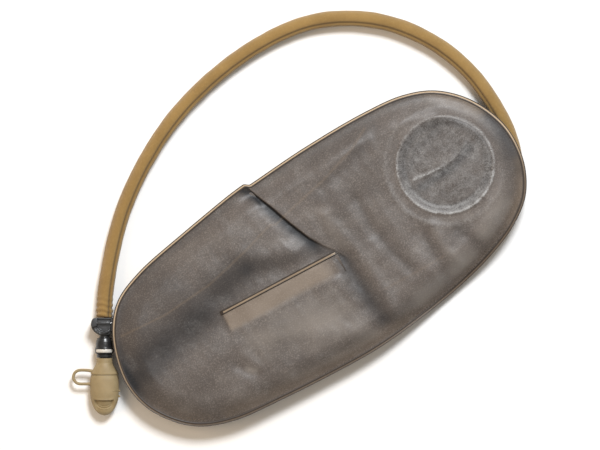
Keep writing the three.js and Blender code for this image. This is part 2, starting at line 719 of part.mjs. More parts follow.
// The glossy barrel below the lock. Its collar has a window for the release button, and the plug
// goes up its bore.
function couplingSocket() {
  const profile = [
    [0, SOCKET_BOTTOM],
    [8.8, SOCKET_BOTTOM],
    [9, SOCKET_BOTTOM + 0.6],
    [9, SOCKET_SHOULDER - 0.4],
    [7.9, SOCKET_SHOULDER],
    [7.7, -26],
    [6.6, -19.6],
    [4.7, -19.2],
    [4.7, -13],
    [0, -13],
  ];
  const bore = rodAboutY(SOCKET_BORE, SOCKET_BOTTOM - 1, -22.4, 20);
  const waterWay = rodAboutY(2.2, -23, -12, 12);
  const window = block([-BUTTON_HALF, BUTTON_ENDS[0], BUTTON_FLOOR], [BUTTON_HALF, BUTTON_ENDS[1], 10]);
  return cut(turned(profile, 28), bore, waterWay, window);
}

// A cream button with a curved face, split by a fine notch.
function couplingButton() {
  const half = BUTTON_HALF - 0.3;
  const low = BUTTON_FLOOR + PRESS_TRAVEL + 0.2;
  const blank = block(
    [-half, BUTTON_ENDS[0] + 0.3, BUTTON_FLOOR - 2.8],
    [half, BUTTON_ENDS[1] - 0.3, 10],
  );
  const face = overlapOf(blank, rodAboutY(8.75, -40, -20, 32));
  const under = block([-10, -40, -10], [10, -20, low]);
  const notch = rodAboutY(0.5, -31.2, -29, 8).translate(0.2, 0, 8.8);
  return cut(face, under, notch);
}

const PLUG_STEM = 5.35;
const PLUG_RING = [-38.2, SOCKET_BOTTOM - GAP];
const BARB_END = -54;

// The plug: a stem up the socket with its rubber ring, a collar, and a barb for the bite valve.
function couplingPlug() {
  const profile = [
    [0, BARB_END],
    [3.6, BARB_END],
    [4.6, BARB_END + 3],
    [3.8, BARB_END + 3.4],
    [3.8, PLUG_RING[0]],
    [7.1, PLUG_RING[0]],
    [7.4, PLUG_RING[0] + 0.5],
    [7.4, PLUG_RING[1]],
    [PLUG_STEM, PLUG_RING[1]],
    [PLUG_STEM, -28.4],
    [4.2, -28.4],
    [4.2, -26.6],
    [PLUG_STEM, -26.6],
    [PLUG_STEM, -23.4],
    [0, -23.4],
  ];
  return cut(turned(profile, 24), rodAboutY(2.2, BARB_END - 1, -22, 12));
}

const couplingORing = () =>
  new THREE.TorusGeometry(4.8, 0.5, 6, 20).rotateX(Math.PI / 2).translate(0, -27.5, 0);

place("coupling_socket", couplingSocket(), blackPlastic, mouthpiece);
place("coupling_button", couplingButton(), creamPlastic, mouthpiece);
place("coupling_plug", couplingPlug(), blackPlastic, mouthpiece);
place("coupling_o_ring", couplingORing(), sealRubber, mouthpiece);

// ---------------------------------------------------------------- the bite valve and its cover

const COVER_FLATTEN = 0.7; // the cover is oval: its height over its width
const COVER_HALF_WIDTH = 13.7;
const PARTING = -54.4;
const COVER_TIP = -92.7;

// The soft mouthpiece. Its tip is a flattened oval with the slit that opens when it is bitten.
function biteValve() {
  const profile = [
    [0, -82],
    [5.5, -81.6],
    [7.2, -79.5],
    [7.2, -72],
    [5.8, -68],
    [5.8, -60],
    [6.6, -57],
    [6.6, -49],
    [5.6, -48.4],
    [4.9, -48.4],
    [4.9, -58],
    [2.6, -60],
    [2.6, -78],
    [0, -78],
  ];
  const slit = block([-3.6, -84, -0.25], [3.6, -77, 0.25]);
  return cut(turned(profile, 20), slit);
}

// Flattens a turned piece: round at its neck, oval from the parting line on.
function flattened(geometry) {
  const position = geometry.attributes.position;
  for (let i = 0; i < position.count; i++) {
    const toOval = smoothStep(44, 54, -position.getY(i));
    position.setZ(i, position.getZ(i) * THREE.MathUtils.lerp(1, COVER_FLATTEN, toOval));
  }
  return geometry;
}

// The collar is stretched over the plug's barb and stays on it.
function coverCollar() {
  const profile = [
    [0, PARTING],
    [12.9, PARTING],
    [12.2, -51.4],
    [8.6, -45.6],
    [7.7, -43.4],
    [7.7, -38.8],
    [0, -38.8],
  ];
  const stemWay = rodAboutY(4.3, -50, -38, 16);
  const valveWay = rodAboutY(7, PARTING - 1, -47.9, 20);
  return cut(flattened(turned(profile, 28)), stemWay, valveWay);
}

const COVER_WALL = 2.2;

// The pull-off cap, with a crescent hollow near its tip for the thumb, ribs in the hollow, and
// two nubs on one side.
function coverCap() {
  const top = PARTING - GAP;
  const flank = (radius, wall) => [
    [radius * 0.72, COVER_TIP + 4.6 + wall],
    [radius * 0.9, COVER_TIP + 10.5 + wall * 0.6],
    [radius, -74],
    [radius, -57],
  ];
  const outside = [[0, COVER_TIP], [5.4, COVER_TIP + 0.9], ...flank(COVER_HALF_WIDTH, 0), [12.9, top]];
  const inside = flank(COVER_HALF_WIDTH - COVER_WALL, 1.6).reverse();
  const profile = [...outside, [COVER_HALF_WIDTH - COVER_WALL, top], ...inside, [0, COVER_TIP + 4.8]];
  const shell = flattened(turned(profile, 28));
  const hollow = new THREE.SphereGeometry(9, 16, 8)
    .scale(1.08, 1.2, 0.42)
    .rotateX(-0.3)
    .translate(0, -87.4, 10.4);
  const brow = block([-14, -77.6, 0], [14, -60, 20]);
  const nubs = [-69.7, -74.9].map((y) =>
    new THREE.SphereGeometry(0.9, 8, 6).translate(COVER_HALF_WIDTH, y, 0.5),
  );
  return join(cut(shell, cut(hollow, brow)), ...nubs);
}

const LOOP_REACH = -29.4;
const LOOP_ENDS = [-50.2, -63.2];
const LOOP_RADIUS = 1.15;

// The cover's tether: a cord of the same rubber, out from the collar and back to the cap.
function coverTether() {
  const middle = (LOOP_ENDS[0] + LOOP_ENDS[1]) / 2;
  const bend = (LOOP_ENDS[0] - LOOP_ENDS[1]) / 2;
  const turnX = LOOP_REACH + bend;
  const points = [new THREE.Vector3(-12.4, LOOP_ENDS[0] - 0.6, 0)];
  for (let i = 0; i <= 8; i++) {
    const angle = Math.PI / 2 + (i * Math.PI) / 8;
    points.push(
      new THREE.Vector3(turnX + bend * Math.cos(angle), middle + bend * Math.sin(angle), 0),
    );
  }
  points.push(new THREE.Vector3(-COVER_HALF_WIDTH - GAP - 0.2, LOOP_ENDS[1], 0));
  return alongCurve(new THREE.CatmullRomCurve3(points), LOOP_RADIUS, 8, 24);
}

place("bite_valve", biteValve(), clearSilicone, mouthpiece);
place("cover_collar", coverCollar(), khakiRubber, mouthpiece);
place("cover_cap", coverCap(), khakiRubber, mouthpiece);
place("cover_tether", coverTether(), khakiRubber, mouthpiece);

export default reservoir;
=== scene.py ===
"""The looks of a soft drinking-water reservoir, lying face down with its drink tube round it."""

import math

import bpy
import numpy as np
from mathutils import Matrix, Vector


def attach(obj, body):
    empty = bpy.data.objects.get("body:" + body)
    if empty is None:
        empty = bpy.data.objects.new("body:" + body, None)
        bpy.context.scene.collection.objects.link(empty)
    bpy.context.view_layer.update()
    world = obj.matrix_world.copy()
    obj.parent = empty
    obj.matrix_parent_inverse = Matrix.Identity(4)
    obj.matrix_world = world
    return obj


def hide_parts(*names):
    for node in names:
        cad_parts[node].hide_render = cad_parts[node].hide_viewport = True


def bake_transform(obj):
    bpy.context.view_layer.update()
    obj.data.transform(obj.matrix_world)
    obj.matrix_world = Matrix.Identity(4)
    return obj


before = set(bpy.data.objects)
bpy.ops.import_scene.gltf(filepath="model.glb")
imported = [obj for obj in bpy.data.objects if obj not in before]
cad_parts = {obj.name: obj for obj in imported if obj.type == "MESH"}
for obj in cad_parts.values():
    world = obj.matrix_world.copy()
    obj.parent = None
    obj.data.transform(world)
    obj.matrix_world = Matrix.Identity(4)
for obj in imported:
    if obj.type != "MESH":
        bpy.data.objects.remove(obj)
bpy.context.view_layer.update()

MM = 0.001
rng = np.random.default_rng(7)

# ------------------------------ driving dimensions, in mm

# The bag's outline, from the foot end's tip round by the -Y edge.
OUTLINE = [
    (-217.4, 2), (-213.5, -25), (-200, -49.5), (-181, -68), (-150, -81.5), (-100, -89.7),
    (-50, -95.5), (0, -99.2), (50, -97.6), (100, -92.3), (140.5, -83.5), (171, -72.2), (196, -55.2),
    (212, -29), (217.4, 2), (213, 28), (199.5, 55), (178, 76.5), (150, 89), (110, 95.2), (50, 98.4),
    (0, 99.2), (-50, 97.9), (-100, 93), (-150, 85.5), (-180, 74.4), (-198.3, 56.4), (-210.8, 32.2),
]
HEAD_TIP = 14
RIM_Z = 20
POUCH = 7.2
POUCH_SLOPE = (5, 27)

CAP = (148.5, 11.4)
OUTLET = (-151.5, 1.8)
NECK = 46.3
MOUTH = (-200, 67.9, 9.8)
TURN = math.radians(-33.3)

# The drink tube's route, from the outlet to the mouthpiece.
ROUTE = [
    (-137, 1.8), (-120, 1.5), (-90, -4), (-50, -14), (0, -29), (50, -41), (95, -50), (130, -54),
    (162, -52.5), (187, -43), (203, -27), (212, -9), (216.5, 9), (218.7, 30), (218.5, 60),
    (213, 89), (202, 117), (187, 141.5), (169, 162), (148, 178), (124, 191.5), (97, 199.5),
    (69, 203), (40, 203.5), (8, 200.5), (-23, 194.5), (-51, 186), (-79, 173.5), (-104, 160),
    (-125, 146), (-142, 132.5), (-158.5, 117), (-173.5, 101),
]
TUBE_Z = 7.8
STRAIGHT_END = 17
HOSE_RADIUS = 4.75
SLEEVE_RADIUS = 7.7

# ------------------------------ camera, light and floor

VIEW_WIDTH = 0.567
VIEW_CENTRE = (0.0028, 0.0392)
LENS = 250
SENSOR = 36


def add_camera():
    data = bpy.data.cameras.new("camera")
    data.lens = LENS
    data.sensor_width = SENSOR
    camera = bpy.data.objects.new("camera", data)
    height = VIEW_WIDTH * LENS / SENSOR
    camera.location = (*VIEW_CENTRE, RIM_Z * MM + height)
    camera.rotation_euler = (0, 0, TURN)
    bpy.context.scene.collection.objects.link(camera)
    bpy.context.scene.camera = camera


def add_area(name, place, size, power, color, glossy=True):
    data = bpy.data.lights.new(name, "AREA")
    data.size = size
    data.energy = power
    data.color = color
    light = bpy.data.objects.new(name, data)
    light.location = place
    light.visible_glossy = glossy
    light.rotation_euler = (Vector((0, 0, 0)) - Vector(place)).to_track_quat("-Z", "Y").to_euler()
    bpy.context.scene.collection.objects.link(light)


def add_world():
    world = bpy.data.worlds.new("studio")
    world.use_nodes = True
    background = world.node_tree.nodes["Background"]
    background.inputs["Color"].default_value = (1, 0.94, 0.85, 1)
    background.inputs["Strength"].default_value = 0.38
    bpy.context.scene.world = world
    bpy.context.scene.view_settings.view_transform = "Standard"


add_camera()
add_world()
add_area("key", (1.3, 1.05, 2.3), 0.8, 92, (0.95, 0.975, 1))
add_area("fill", (-1.6, 1.2, 1.9), 1.6, 24, (1, 0.69, 0.39), glossy=False)

# ------------------------------ materials


class Look:
    """A node material, with short calls for the nodes that it uses most. A value may be a plain
    number or colour, or another node's socket."""

    def __init__(self, name):
        self.material = bpy.data.materials.new(name)
        self.material.use_nodes = True
        self.tree = self.material.node_tree
        self.shader = self.tree.nodes["Principled BSDF"]
        self.place = self.add("TexCoord").outputs["Object"]

    def feed(self, socket, value):
        if isinstance(value, bpy.types.NodeSocket):
            self.tree.links.new(value, socket)
        else:
            is_color = socket.type == "RGBA"
            socket.default_value = (*value, 1) if is_color else value

    def add(self, kind, inputs=None, **settings):
        node = self.tree.nodes.new("ShaderNode" + kind)
        for key, value in settings.items():
            setattr(node, key, value)
        for key, value in (inputs or {}).items():
            self.feed(node.inputs[key], value)
        return node

    def finished(self, color, rough, **others):
        """The material. In the names of its other inputs, _ stands for a space."""
        self.feed(self.shader.inputs["Base Color"], color)
        self.feed(self.shader.inputs["Roughness"], rough)
        for name, value in others.items():
            self.feed(self.shader.inputs[name.replace("_", " ")], value)
        return self.material

    def stretched(self, x, y, z, turn=0):
        inputs = {"Vector": self.place, "Scale": (x, y, z), "Rotation": (0, 0, turn)}
        return self.add("Mapping", inputs).outputs["Vector"]

    def noise(self, size, detail=4, rough=0.55, place=None, warp=0):
        """Noise with features of about this size, in mm."""
        inputs = {"Vector": place or self.place, "Scale": 1 / (size * MM), "Detail": detail}
        return self.add("TexNoise", inputs | {"Roughness": rough, "Distortion": warp}).outputs["Fac"]

    def attribute(self, name):
        return self.add("Attribute", attribute_name=name).outputs["Fac"]

    def math(self, operation, a, b=0.0):
        return self.add("Math", {0: a, 1: b}, operation=operation).outputs["Value"]

    def remap(self, value, low, high, to_low=0.0, to_high=1.0):
        inputs = {"Value": value, "From Min": low, "From Max": high, "To Min": to_low, "To Max": to_high}
        return self.add("MapRange", inputs).outputs["Result"]

    def mix(self, amount, a, b):
        return self.add("Mix", {0: amount, 6: a, 7: b}, data_type="RGBA").outputs[2]

    def bump(self, height, distance, normal=None, strength=1.0):
        """A bump of this height in mm."""
        inputs = {"Strength": strength, "Distance": distance * MM, "Height": height}
        return self.add("Bump", inputs | ({"Normal": normal} if normal else {})).outputs["Normal"]

    def let_through(self, share, tint=(1, 1, 1)):
        """Lets this share of the light straight through the surface, tinted."""
        clear = self.add("BsdfTransparent", {"Color": tint}).outputs["BSDF"]
        blend = self.add("MixShader", {0: share, 1: self.shader.outputs["BSDF"], 2: clear})
        self.feed(self.tree.nodes["Material Output"].inputs["Surface"], blend.outputs["Shader"])


def film_look(base, tint):
    """Smoke-brown flexible film: satin, grained, hazed and scuffed by use, with painted shade and
    painted highlights from an attribute, and clearer where the "clear" attribute says so."""
    look = Look("film")
    broad = look.noise(60, 3, 0.5)
    mottle = look.noise(6.5, 5, 0.68, warp=0.4)
    speck = look.noise(1.25, 4, 0.75)
    grain = look.noise(0.7, 3, 0.6)
    streaks = look.noise(3.2, 4, 0.6, place=look.stretched(1, 5, 1, 0.5))
    darker = tuple(c * 0.86 for c in base)
    lighter = tuple(c * 1.14 for c in base)
    color = look.mix(look.remap(broad, 0.3, 0.7), darker, lighter)
    color = look.mix(look.remap(mottle, 0.45, 0.8, 0, 0.12), color, (0.20, 0.175, 0.155))
    # Dark and light grain specks; the light ones are strong enough to stand in for painted sparkle.
    color = look.mix(look.remap(speck, 0.32, 0.6, 0.5, 0), color, (0.045, 0.038, 0.034))
    color = look.mix(look.remap(speck, 0.53, 0.72, 0, 0.7), color, (0.27, 0.24, 0.212))
    # Painted shade (darker) and painted highlights (lighter), with some random tone, from an attribute.
    shade_light_and_tone = look.attribute("shade_light_and_tone")
    color = look.mix(look.remap(shade_light_and_tone, 0, -1, 0, 1), color, (0.014, 0.0155, 0.019))
    color = look.mix(look.remap(shade_light_and_tone, 0, 1, 0, 1), color, (0.36, 0.33, 0.30))
    color = look.mix(look.attribute("warm"), color, (0.27, 0.20, 0.135))
    dust_and_shade = look.attribute("dust_and_shade")
    scuffs = look.math("MULTIPLY", dust_and_shade, look.remap(look.math("ADD", mottle, speck), 0.82, 1.2, 0.05, 1.9))
    haze = look.math("MULTIPLY", look.remap(streaks, 0.55, 0.78, 0, 0.22), look.remap(broad, 0.45, 0.65))
    color = look.mix(look.math("ADD", scuffs, haze), color, (0.36, 0.365, 0.37))
    relief = look.bump(look.noise(22, 2, 0.4, warp=0.6), 0.8, strength=0.35)
    relief = look.bump(mottle, 0.2, relief, 0.3)
    relief = look.bump(speck, 0.16, relief, 0.8)
    look.let_through(look.remap(look.attribute("clear"), 0, 1, 0.05, 0.45), tint)
    rough = look.remap(look.math("ADD", mottle, scuffs), 0.3, 1.1, 0.38, 0.58)
    relief = look.bump(grain, 0.05, relief, 0.5)
    return look.finished(color, rough, Normal=relief, Specular_IOR_Level=0.42)


def weld_look():
    """The welded strip: doubled film, clear enough at its edge to glow tan. The tan is painted glow, and
    two attributes lighten it to a painted highlight and darken it to painted shade.
    """
    look = Look("weld")
    wander = look.noise(30, 3, 0.5)
    fine = look.noise(1.6, 4, 0.6)
    color = look.mix(look.remap(wander, 0.3, 0.7), (0.17, 0.125, 0.085), (0.26, 0.195, 0.13))
    # Painted highlight, then painted shade, as the two attributes say.
    color = look.mix(look.attribute("shade_light_and_tone"), color, (0.60, 0.46, 0.31))
    color = look.mix(look.attribute("dust_and_shade"), color, (0.055, 0.042, 0.034))
    color = look.mix(look.remap(fine, 0.4, 0.8, 0, 0.3), color, (0.2, 0.15, 0.1))
    return look.finished(color, look.remap(fine, 0.3, 0.7, 0.25, 0.45), Normal=look.bump(fine, 0.12))


def plastic_look(name, base, rough, grain=0.05, coat=0.0):
    """Moulded plastic: a fine texture, faint wear and a little handling haze."""
    look = Look(name)
    speck = look.noise(0.7, 3, 0.6)
    wear = look.noise(6, 5, 0.65, warp=0.5)
    lines = look.noise(1.2, 3, 0.6, place=look.stretched(1, 9, 1, 0.9))
    worn = tuple(min(1, c * 1.35 + 0.02) for c in base)
    color = look.mix(look.remap(wear, 0.45, 0.75, 0, 0.45), base, worn)
    color = look.mix(look.remap(lines, 0.62, 0.8, 0, 0.25), color, worn)
    uneven = look.remap(wear, 0.3, 0.75, rough - 0.06, rough + 0.14)
    relief = look.bump(lines, 0.04, look.bump(speck, grain, strength=0.6), 0.4)
    return look.finished(color, uneven, Normal=relief, Coat_Weight=coat, Coat_Roughness=0.12)


def rubber_look(name, base, rough, soft=0.0):
    """Moulded rubber or silicone: matt, with a soft bloom and fine grime."""
    look = Look(name)
    bloom = look.noise(7, 4, 0.6, warp=0.4)
    grime = look.noise(1.4, 5, 0.7)
    pale = tuple(min(1, c * 1.14 + 0.01) for c in base)
    dirty = tuple(c * 0.62 for c in base)
    color = look.mix(look.remap(bloom, 0.35, 0.7), base, pale)
    color = look.mix(look.remap(grime, 0.58, 0.82, 0, 0.5), color, dirty)
    return look.finished(
        color,
        look.remap(bloom, 0.3, 0.7, rough - 0.05, rough + 0.1),
        Normal=look.bump(grime, 0.06, strength=0.5),
        Subsurface_Weight=soft,
        Subsurface_Radius=(0.004, 0.003, 0.002),
        Subsurface_Scale=0.3,
    )


def sleeve_look():
    """Woven nylon sleeve: ribs of yarn along and across, slub and faded patches."""
    look = Look("sleeve")
    split = look.add("SeparateXYZ", {0: look.add("UVMap", uv_map="weave").outputs["UV"]})
    along = look.math("SINE", look.math("MULTIPLY", split.outputs["X"], 2 * math.pi / 0.00125))
    around = look.math("SINE", look.math("MULTIPLY", split.outputs["Y"], 2 * math.pi / 0.00115))
    weave = look.math("MULTIPLY", along, around)
    slub = look.noise(2.2, 4, 0.7)
    fade = look.noise(28, 4, 0.6, warp=0.5)
    color = look.mix(look.remap(fade, 0.3, 0.7), (0.250, 0.150, 0.038), (0.325, 0.200, 0.056))
    color = look.mix(look.remap(weave, -1, 1, 0.0, 0.55), color, (0.20, 0.12, 0.045))
    color = look.mix(look.remap(slub, 0.5, 0.8, 0, 0.4), color, (0.40, 0.26, 0.09))
    color = look.mix(look.math("MULTIPLY", look.attribute("seam"), 0.75), color, (0.07, 0.04, 0.012))
    relief = look.bump(weave, 0.16, look.bump(slub, 0.25, strength=0.5), 0.8)
    return look.finished(color, 0.86, Normal=relief, Sheen_Weight=0.25, Sheen_Roughness=0.5)


def metal_look():
    look = Look("steel")
    drawn = look.noise(0.4, 3, 0.6, place=look.stretched(1, 1, 12))
    color = look.mix(drawn, (0.45, 0.45, 0.46), (0.7, 0.7, 0.71))
    return look.finished(color, look.remap(drawn, 0.3, 0.7, 0.2, 0.4), Metallic=1.0)


def floor_look():
    """A pale sweep. It can't be seen from below, so that the underside can be looked at."""
    look = Look("floor")
    tint = look.noise(300, 2, 0.5)
    look.let_through(look.add("NewGeometry").outputs["Backfacing"])
    return look.finished(look.mix(tint, (0.86, 0.86, 0.86), (0.88, 0.88, 0.88)), 0.9)


# The material of each slot.
LOOKS = {
    "film": film_look(base=(0.112, 0.096, 0.088), tint=(1.0, 0.84, 0.62)),
    "weld": plastic_look("film_edge", (0.032, 0.023, 0.017), 0.5),
    "black_plastic": plastic_look("black_plastic", (0.012, 0.012, 0.013), 0.30, 0.03, coat=0.25),
    "grey_plastic": plastic_look("grey_plastic", (0.040, 0.042, 0.046), 0.36, coat=0.1),
    "cream_plastic": plastic_look("cream_plastic", (0.56, 0.54, 0.50), 0.36),
    "khaki_rubber": rubber_look("khaki_rubber", (0.262, 0.198, 0.102), 0.55, soft=0.1),
    "silicone": rubber_look("silicone", (0.55, 0.58, 0.58), 0.35, soft=0.3),
    "tether": rubber_look("tether_rubber", (0.022, 0.021, 0.02), 0.55),
    "hose": plastic_look("hose_plastic", (0.10, 0.075, 0.05), 0.3, 0.02),
    "sleeve": sleeve_look(),
    "steel": metal_look(),
}
WELD_TAN = weld_look()
STITCH = rubber_look("stitch_thread", (0.11, 0.062, 0.022), 0.8)
SEAL = rubber_look("seal_rubber", (0.02, 0.02, 0.021), 0.7)

# ------------------------------ mesh helpers
# A shape is its points, in mm, and its faces.


def add_mesh(name, shape, material, sharp):
    """A mesh object, smooth but for edges sharper than this many degrees."""
    points, faces = shape
    mesh = bpy.data.meshes.new(name)
    mesh.from_pydata((np.asarray(points, float) * MM).tolist(), [], [list(f) for f in faces])
    mesh.materials.append(material)
    mesh.validate()
    mesh.shade_smooth()
    if sharp:
        mesh.set_sharp_from_angle(angle=math.radians(sharp))
    piece = bpy.data.objects.new(name, mesh)
    bpy.context.scene.collection.objects.link(piece)
    return piece


def add_piece(name, shape, slot, body, node=None, sharp=40, cuts=()):
    """A piece that rides on a body, with these shapes cut out, and replaces a CAD node."""
    piece = add_mesh(name, shape, LOOKS[slot], sharp)
    if body:
        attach(piece, body)
    if cuts:
        carve(piece, cuts)
    if node:
        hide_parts(node)
    return piece


def carve(piece, shapes):
    cutters = [add_mesh("cutter", shape, LOOKS["black_plastic"], 40) for shape in shapes]
    for cutter in cutters:
        modifier = piece.modifiers.new("cut", "BOOLEAN")
        modifier.operation = "DIFFERENCE"
        modifier.solver = "EXACT"
        modifier.object = cutter
    evaluated = piece.evaluated_get(bpy.context.evaluated_depsgraph_get())
    mesh = bpy.data.meshes.new_from_object(evaluated)
    piece.modifiers.clear()
    piece.data = mesh
    mesh.shade_smooth()
    mesh.set_sharp_from_angle(angle=math.radians(38))
    for cutter in cutters:
        bpy.data.objects.remove(cutter)


def add_attribute(piece, name, values):
    attribute = piece.data.attributes.new(name, "FLOAT", "POINT")
    attribute.data.foreach_set("value", np.asarray(values, np.float32))


def smoothstep(low, high, value):
    t = np.clip((np.asarray(value, float) - low) / (high - low), 0, 1)
    return t * t * (3 - 2 * t)


def bell(value, width):
    """1 where the value is 0, and less over this width on each side."""
    return np.exp(-((value / width) ** 2))


def unit(vectors):
    return vectors / np.linalg.norm(vectors, axis=1)[:, None]


def right_of(loop):
    """Unit vectors to the right of the way round a closed loop."""
    ahead = np.roll(loop, -1, axis=0) - np.roll(loop, 1, axis=0)
    return unit(np.c_[ahead[:, 1], -ahead[:, 0]])


def side_vectors(line, up=(0, 0, 1)):
    """Unit vectors to the left of a line's direction of travel, and over it."""
    ahead = unit(np.gradient(line, axis=0))
    left = unit(np.cross(np.array(up, float), ahead))
    return left, np.cross(ahead, left)


def between(a, b, t, low, high):
    return a + (b - a) * (t - low) / (high - low)


def catmull_rom(points, per_span, closed=False):
    """The centripetal curve through the points, with this many samples between each two."""
    points = np.array(points, float)
    before, after = points[-1:], points[:2]
    if not closed:
        before, after = 2 * points[:1] - points[1:2], 2 * points[-1:] - points[-2:-1]
    points = np.vstack([before, points, after])
    out = []
    for p in (points[i : i + 4] for i in range(len(points) - 3)):
        knot = np.r_[0, np.cumsum(np.sqrt(np.linalg.norm(np.diff(p, axis=0), axis=1)))]
        t = knot[1] + (knot[2] - knot[1]) * np.arange(per_span)[:, None] / per_span
        a = [between(p[k], p[k + 1], t, knot[k], knot[k + 1]) for k in range(3)]
        b = [between(a[k], a[k + 1], t, knot[k], knot[k + 2]) for k in range(2)]
        out.append(between(b[0], b[1], t, knot[1], knot[2]))
    if not closed:
        out.append(points[-2:-1])
    return np.vstack(out)


def bezier(a, b, c, d, steps=12):
    t = np.linspace(0, 1, steps)[:, None]
    a, b, c, d = (np.array(p, float) for p in (a, b, c, d))
    return (1 - t) ** 3 * a + 3 * (1 - t) ** 2 * t * b + 3 * (1 - t) * t**2 * c + t**3 * d


def even_spacing(line, step):
    """The same line with points at an even step along it."""
    lengths = np.r_[0, np.cumsum(np.linalg.norm(np.diff(line, axis=0), axis=1))]
    places = np.linspace(0, lengths[-1], max(2, int(round(lengths[-1] / step)) + 1))
    return np.stack([np.interp(places, lengths, line[:, k]) for k in range(line.shape[1])], axis=1)


def rounded(profile, radius, steps=4):
    """A run of points with each inner corner rounded off."""
    profile = [np.array(p, float) for p in profile]
    out = [profile[0]]
    for before, corner, after in zip(profile, profile[1:], profile[2:]):
        a, b = before - corner, after - corner
        reach = min(radius, 0.45 * np.linalg.norm(a), 0.45 * np.linalg.norm(b))
        start = corner + a / np.linalg.norm(a) * reach
        end = corner + b / np.linalg.norm(b) * reach
        for k in range(steps + 1):
            t = k / steps
            out.append((1 - t) ** 2 * start + 2 * t * (1 - t) * corner + t * t * end)
    out.append(profile[-1])
    return out


def grid_faces(rows, columns, wrap_rows=False, wrap_columns=False):
    faces = []
    for i in range(rows if wrap_rows else rows - 1):
        for j in range(columns if wrap_columns else columns - 1):
            n, m = (i + 1) % rows, (j + 1) % columns
            faces.append((i * columns + j, n * columns + j, n * columns + m, i * columns + m))
    return faces


def facing_out(points, faces):
    """A closed shape with its faces turned to point out of it."""
    volume = 0.0
    for face in faces:
        fan = [np.array(points[i], float) for i in face]
        for b, c in zip(fan[1:], fan[2:]):
            volume += np.dot(fan[0], np.cross(b, c))
    return points, (faces if volume > 0 else [face[::-1] for face in faces])


def with_ends(points, count):
    """The closed shape through rings of this many points each."""
    faces = grid_faces(len(points) // count, count, wrap_columns=True)
    faces.append(tuple(range(count)))
    faces.append(tuple(range(len(points) - count, len(points)))[::-1])
    return facing_out(points, faces)


def plate(x, y, top, under):
    """The closed shape between two grids of points, at these heights over the same places."""
    rows, columns = x.shape
    size = x.size
    faces = grid_faces(rows, columns)
    faces += [tuple(i + size for i in face[::-1]) for face in faces]
    rim = [i * columns for i in range(rows)]
    rim += [size - columns + j for j in range(1, columns)]
    rim += [i * columns - 1 for i in range(rows - 1, 0, -1)]
    rim += range(columns - 2, 0, -1)
    faces += [(b, a, a + size, b + size) for a, b in zip(rim, rim[1:] + rim[:1])]
    points = [np.c_[x.ravel(), y.ravel(), z.ravel()] for z in (top, under)]
    return facing_out(np.vstack(points), faces)


def lathed(corner, sides, *profile, steps=4):
    """A turned shape about Z, its profile's corners rounded."""
    return turned(rounded(profile, corner, steps), sides)


def turned(profile, sides, swell=None):
    """A turned shape about Z from (radius, height) points. swell(angle, radius, height) may move
    a point in or out."""
    points = []
    for i in range(sides):
        angle = 2 * math.pi * i / sides
        for radius, height in profile:
            r = radius + (swell(angle, radius, height) if swell else 0)
            points.append((r * math.cos(angle), r * math.sin(angle), height))
    return facing_out(points, grid_faces(sides, len(profile), wrap_rows=True))


def tube(line, radius, sides, up=(0, 0, 1)):
    """A tube along a line. Its radius is a number or radius(i, angle), where angle 0 lies to the
    left of the direction of travel and 90 degrees is up."""
    left, over = side_vectors(line, up)
    points = []
    for i in range(len(line)):
        for k in range(sides):
            angle = 2 * math.pi * k / sides
            r = radius(i, angle) if callable(radius) else radius
            points.append(line[i] + r * (math.cos(angle) * left[i] + math.sin(angle) * over[i]))
    return with_ends(np.array(points), sides)


def helix(radius, bottom, top, turns, per_turn):
    angles = np.linspace(0, 2 * math.pi * turns, int(per_turn * turns) + 1)
    return np.c_[radius * np.cos(angles), radius * np.sin(angles), np.linspace(bottom, top, len(angles))]


def pillow_slab(outline, bottom, top, edge, steps=4):
    """An upright slab of a convex outline with rounded top and bottom edges."""
    outline = np.array(outline, float)
    outward = right_of(outline)
    rings = []
    for angle in np.linspace(0, math.pi / 2, steps + 1):
        rings.append((edge * (1 - math.sin(angle)), bottom + edge * (1 - math.cos(angle))))
    for angle in np.linspace(0, math.pi / 2, steps + 1):
        rings.append((edge * (1 - math.cos(angle)), top - edge * (1 - math.sin(angle))))
    points = []
    for inset, height in rings:
        points += [(x, y, height) for x, y in outline - outward * inset]
    return with_ends(points, len(outline))


def rounded_box_outline(half_x, half_y, corner, steps=6):
    outline = []
    for sx, sy, start in ((1, 1, 0), (-1, 1, 90), (-1, -1, 180), (1, -1, 270)):
        for k in range(steps + 1):
            angle = math.radians(start + 90 * k / steps)
            x = sx * (half_x - corner) + corner * math.cos(angle)
            outline.append((x, sy * (half_y - corner) + corner * math.sin(angle)))
    return outline


def box_slab(half_x, half_y, bottom, top, corner=1.0, edge=0.5):
    return pillow_slab(rounded_box_outline(half_x, half_y, corner), bottom, top, edge)


def ring(inner, outer, bottom, top, corner=0.5):
    start = (inner, (bottom + top) / 2)
    corners = [(inner, bottom), (outer, bottom), (outer, top), (inner, top)]
    return lathed(corner, 120, start, *corners, start)


def joined(*shapes):
    """Several shapes as one."""
    points, faces = [], []
    for shape_points, shape_faces in shapes:
        start = len(points)
        points.extend(tuple(p) for p in shape_points)
        faces.extend(tuple(i + start for i in f) for f in shape_faces)
    return points, faces


def moved(shape, matrix):
    points, faces = shape
    return [tuple(matrix @ Vector(p)) for p in points], faces


def shifted(shape, x, y, z):
    return moved(shape, Matrix.Translation((x, y, z)))


IN_FILLER = Matrix.Translation((*CAP, 0))
IN_OUTLET = Matrix.Translation((*OUTLET, 0))
IN_MOUTH = Matrix.Translation(MOUTH) @ Matrix.Rotation(TURN, 4, "Z")


def in_mouth(shape):
    """A shape in the fittings' own frame, whose +Y runs up the drink tube from the mouthpiece."""
    return moved(shape, IN_MOUTH)


def lengthwise(shape):
    """A turned shape laid along the Y axis, so that its heights are y."""
    return moved(shape, Matrix.Rotation(-math.pi / 2, 4, "X"))


# ------------------------------ the drink tube and its sleeve

STEP = 1.25  # between the tube's rings
SEAM_ANGLE = math.radians(38)  # the sleeve's seam, on the inside of the loop
SLEEVE_SIDES = 64


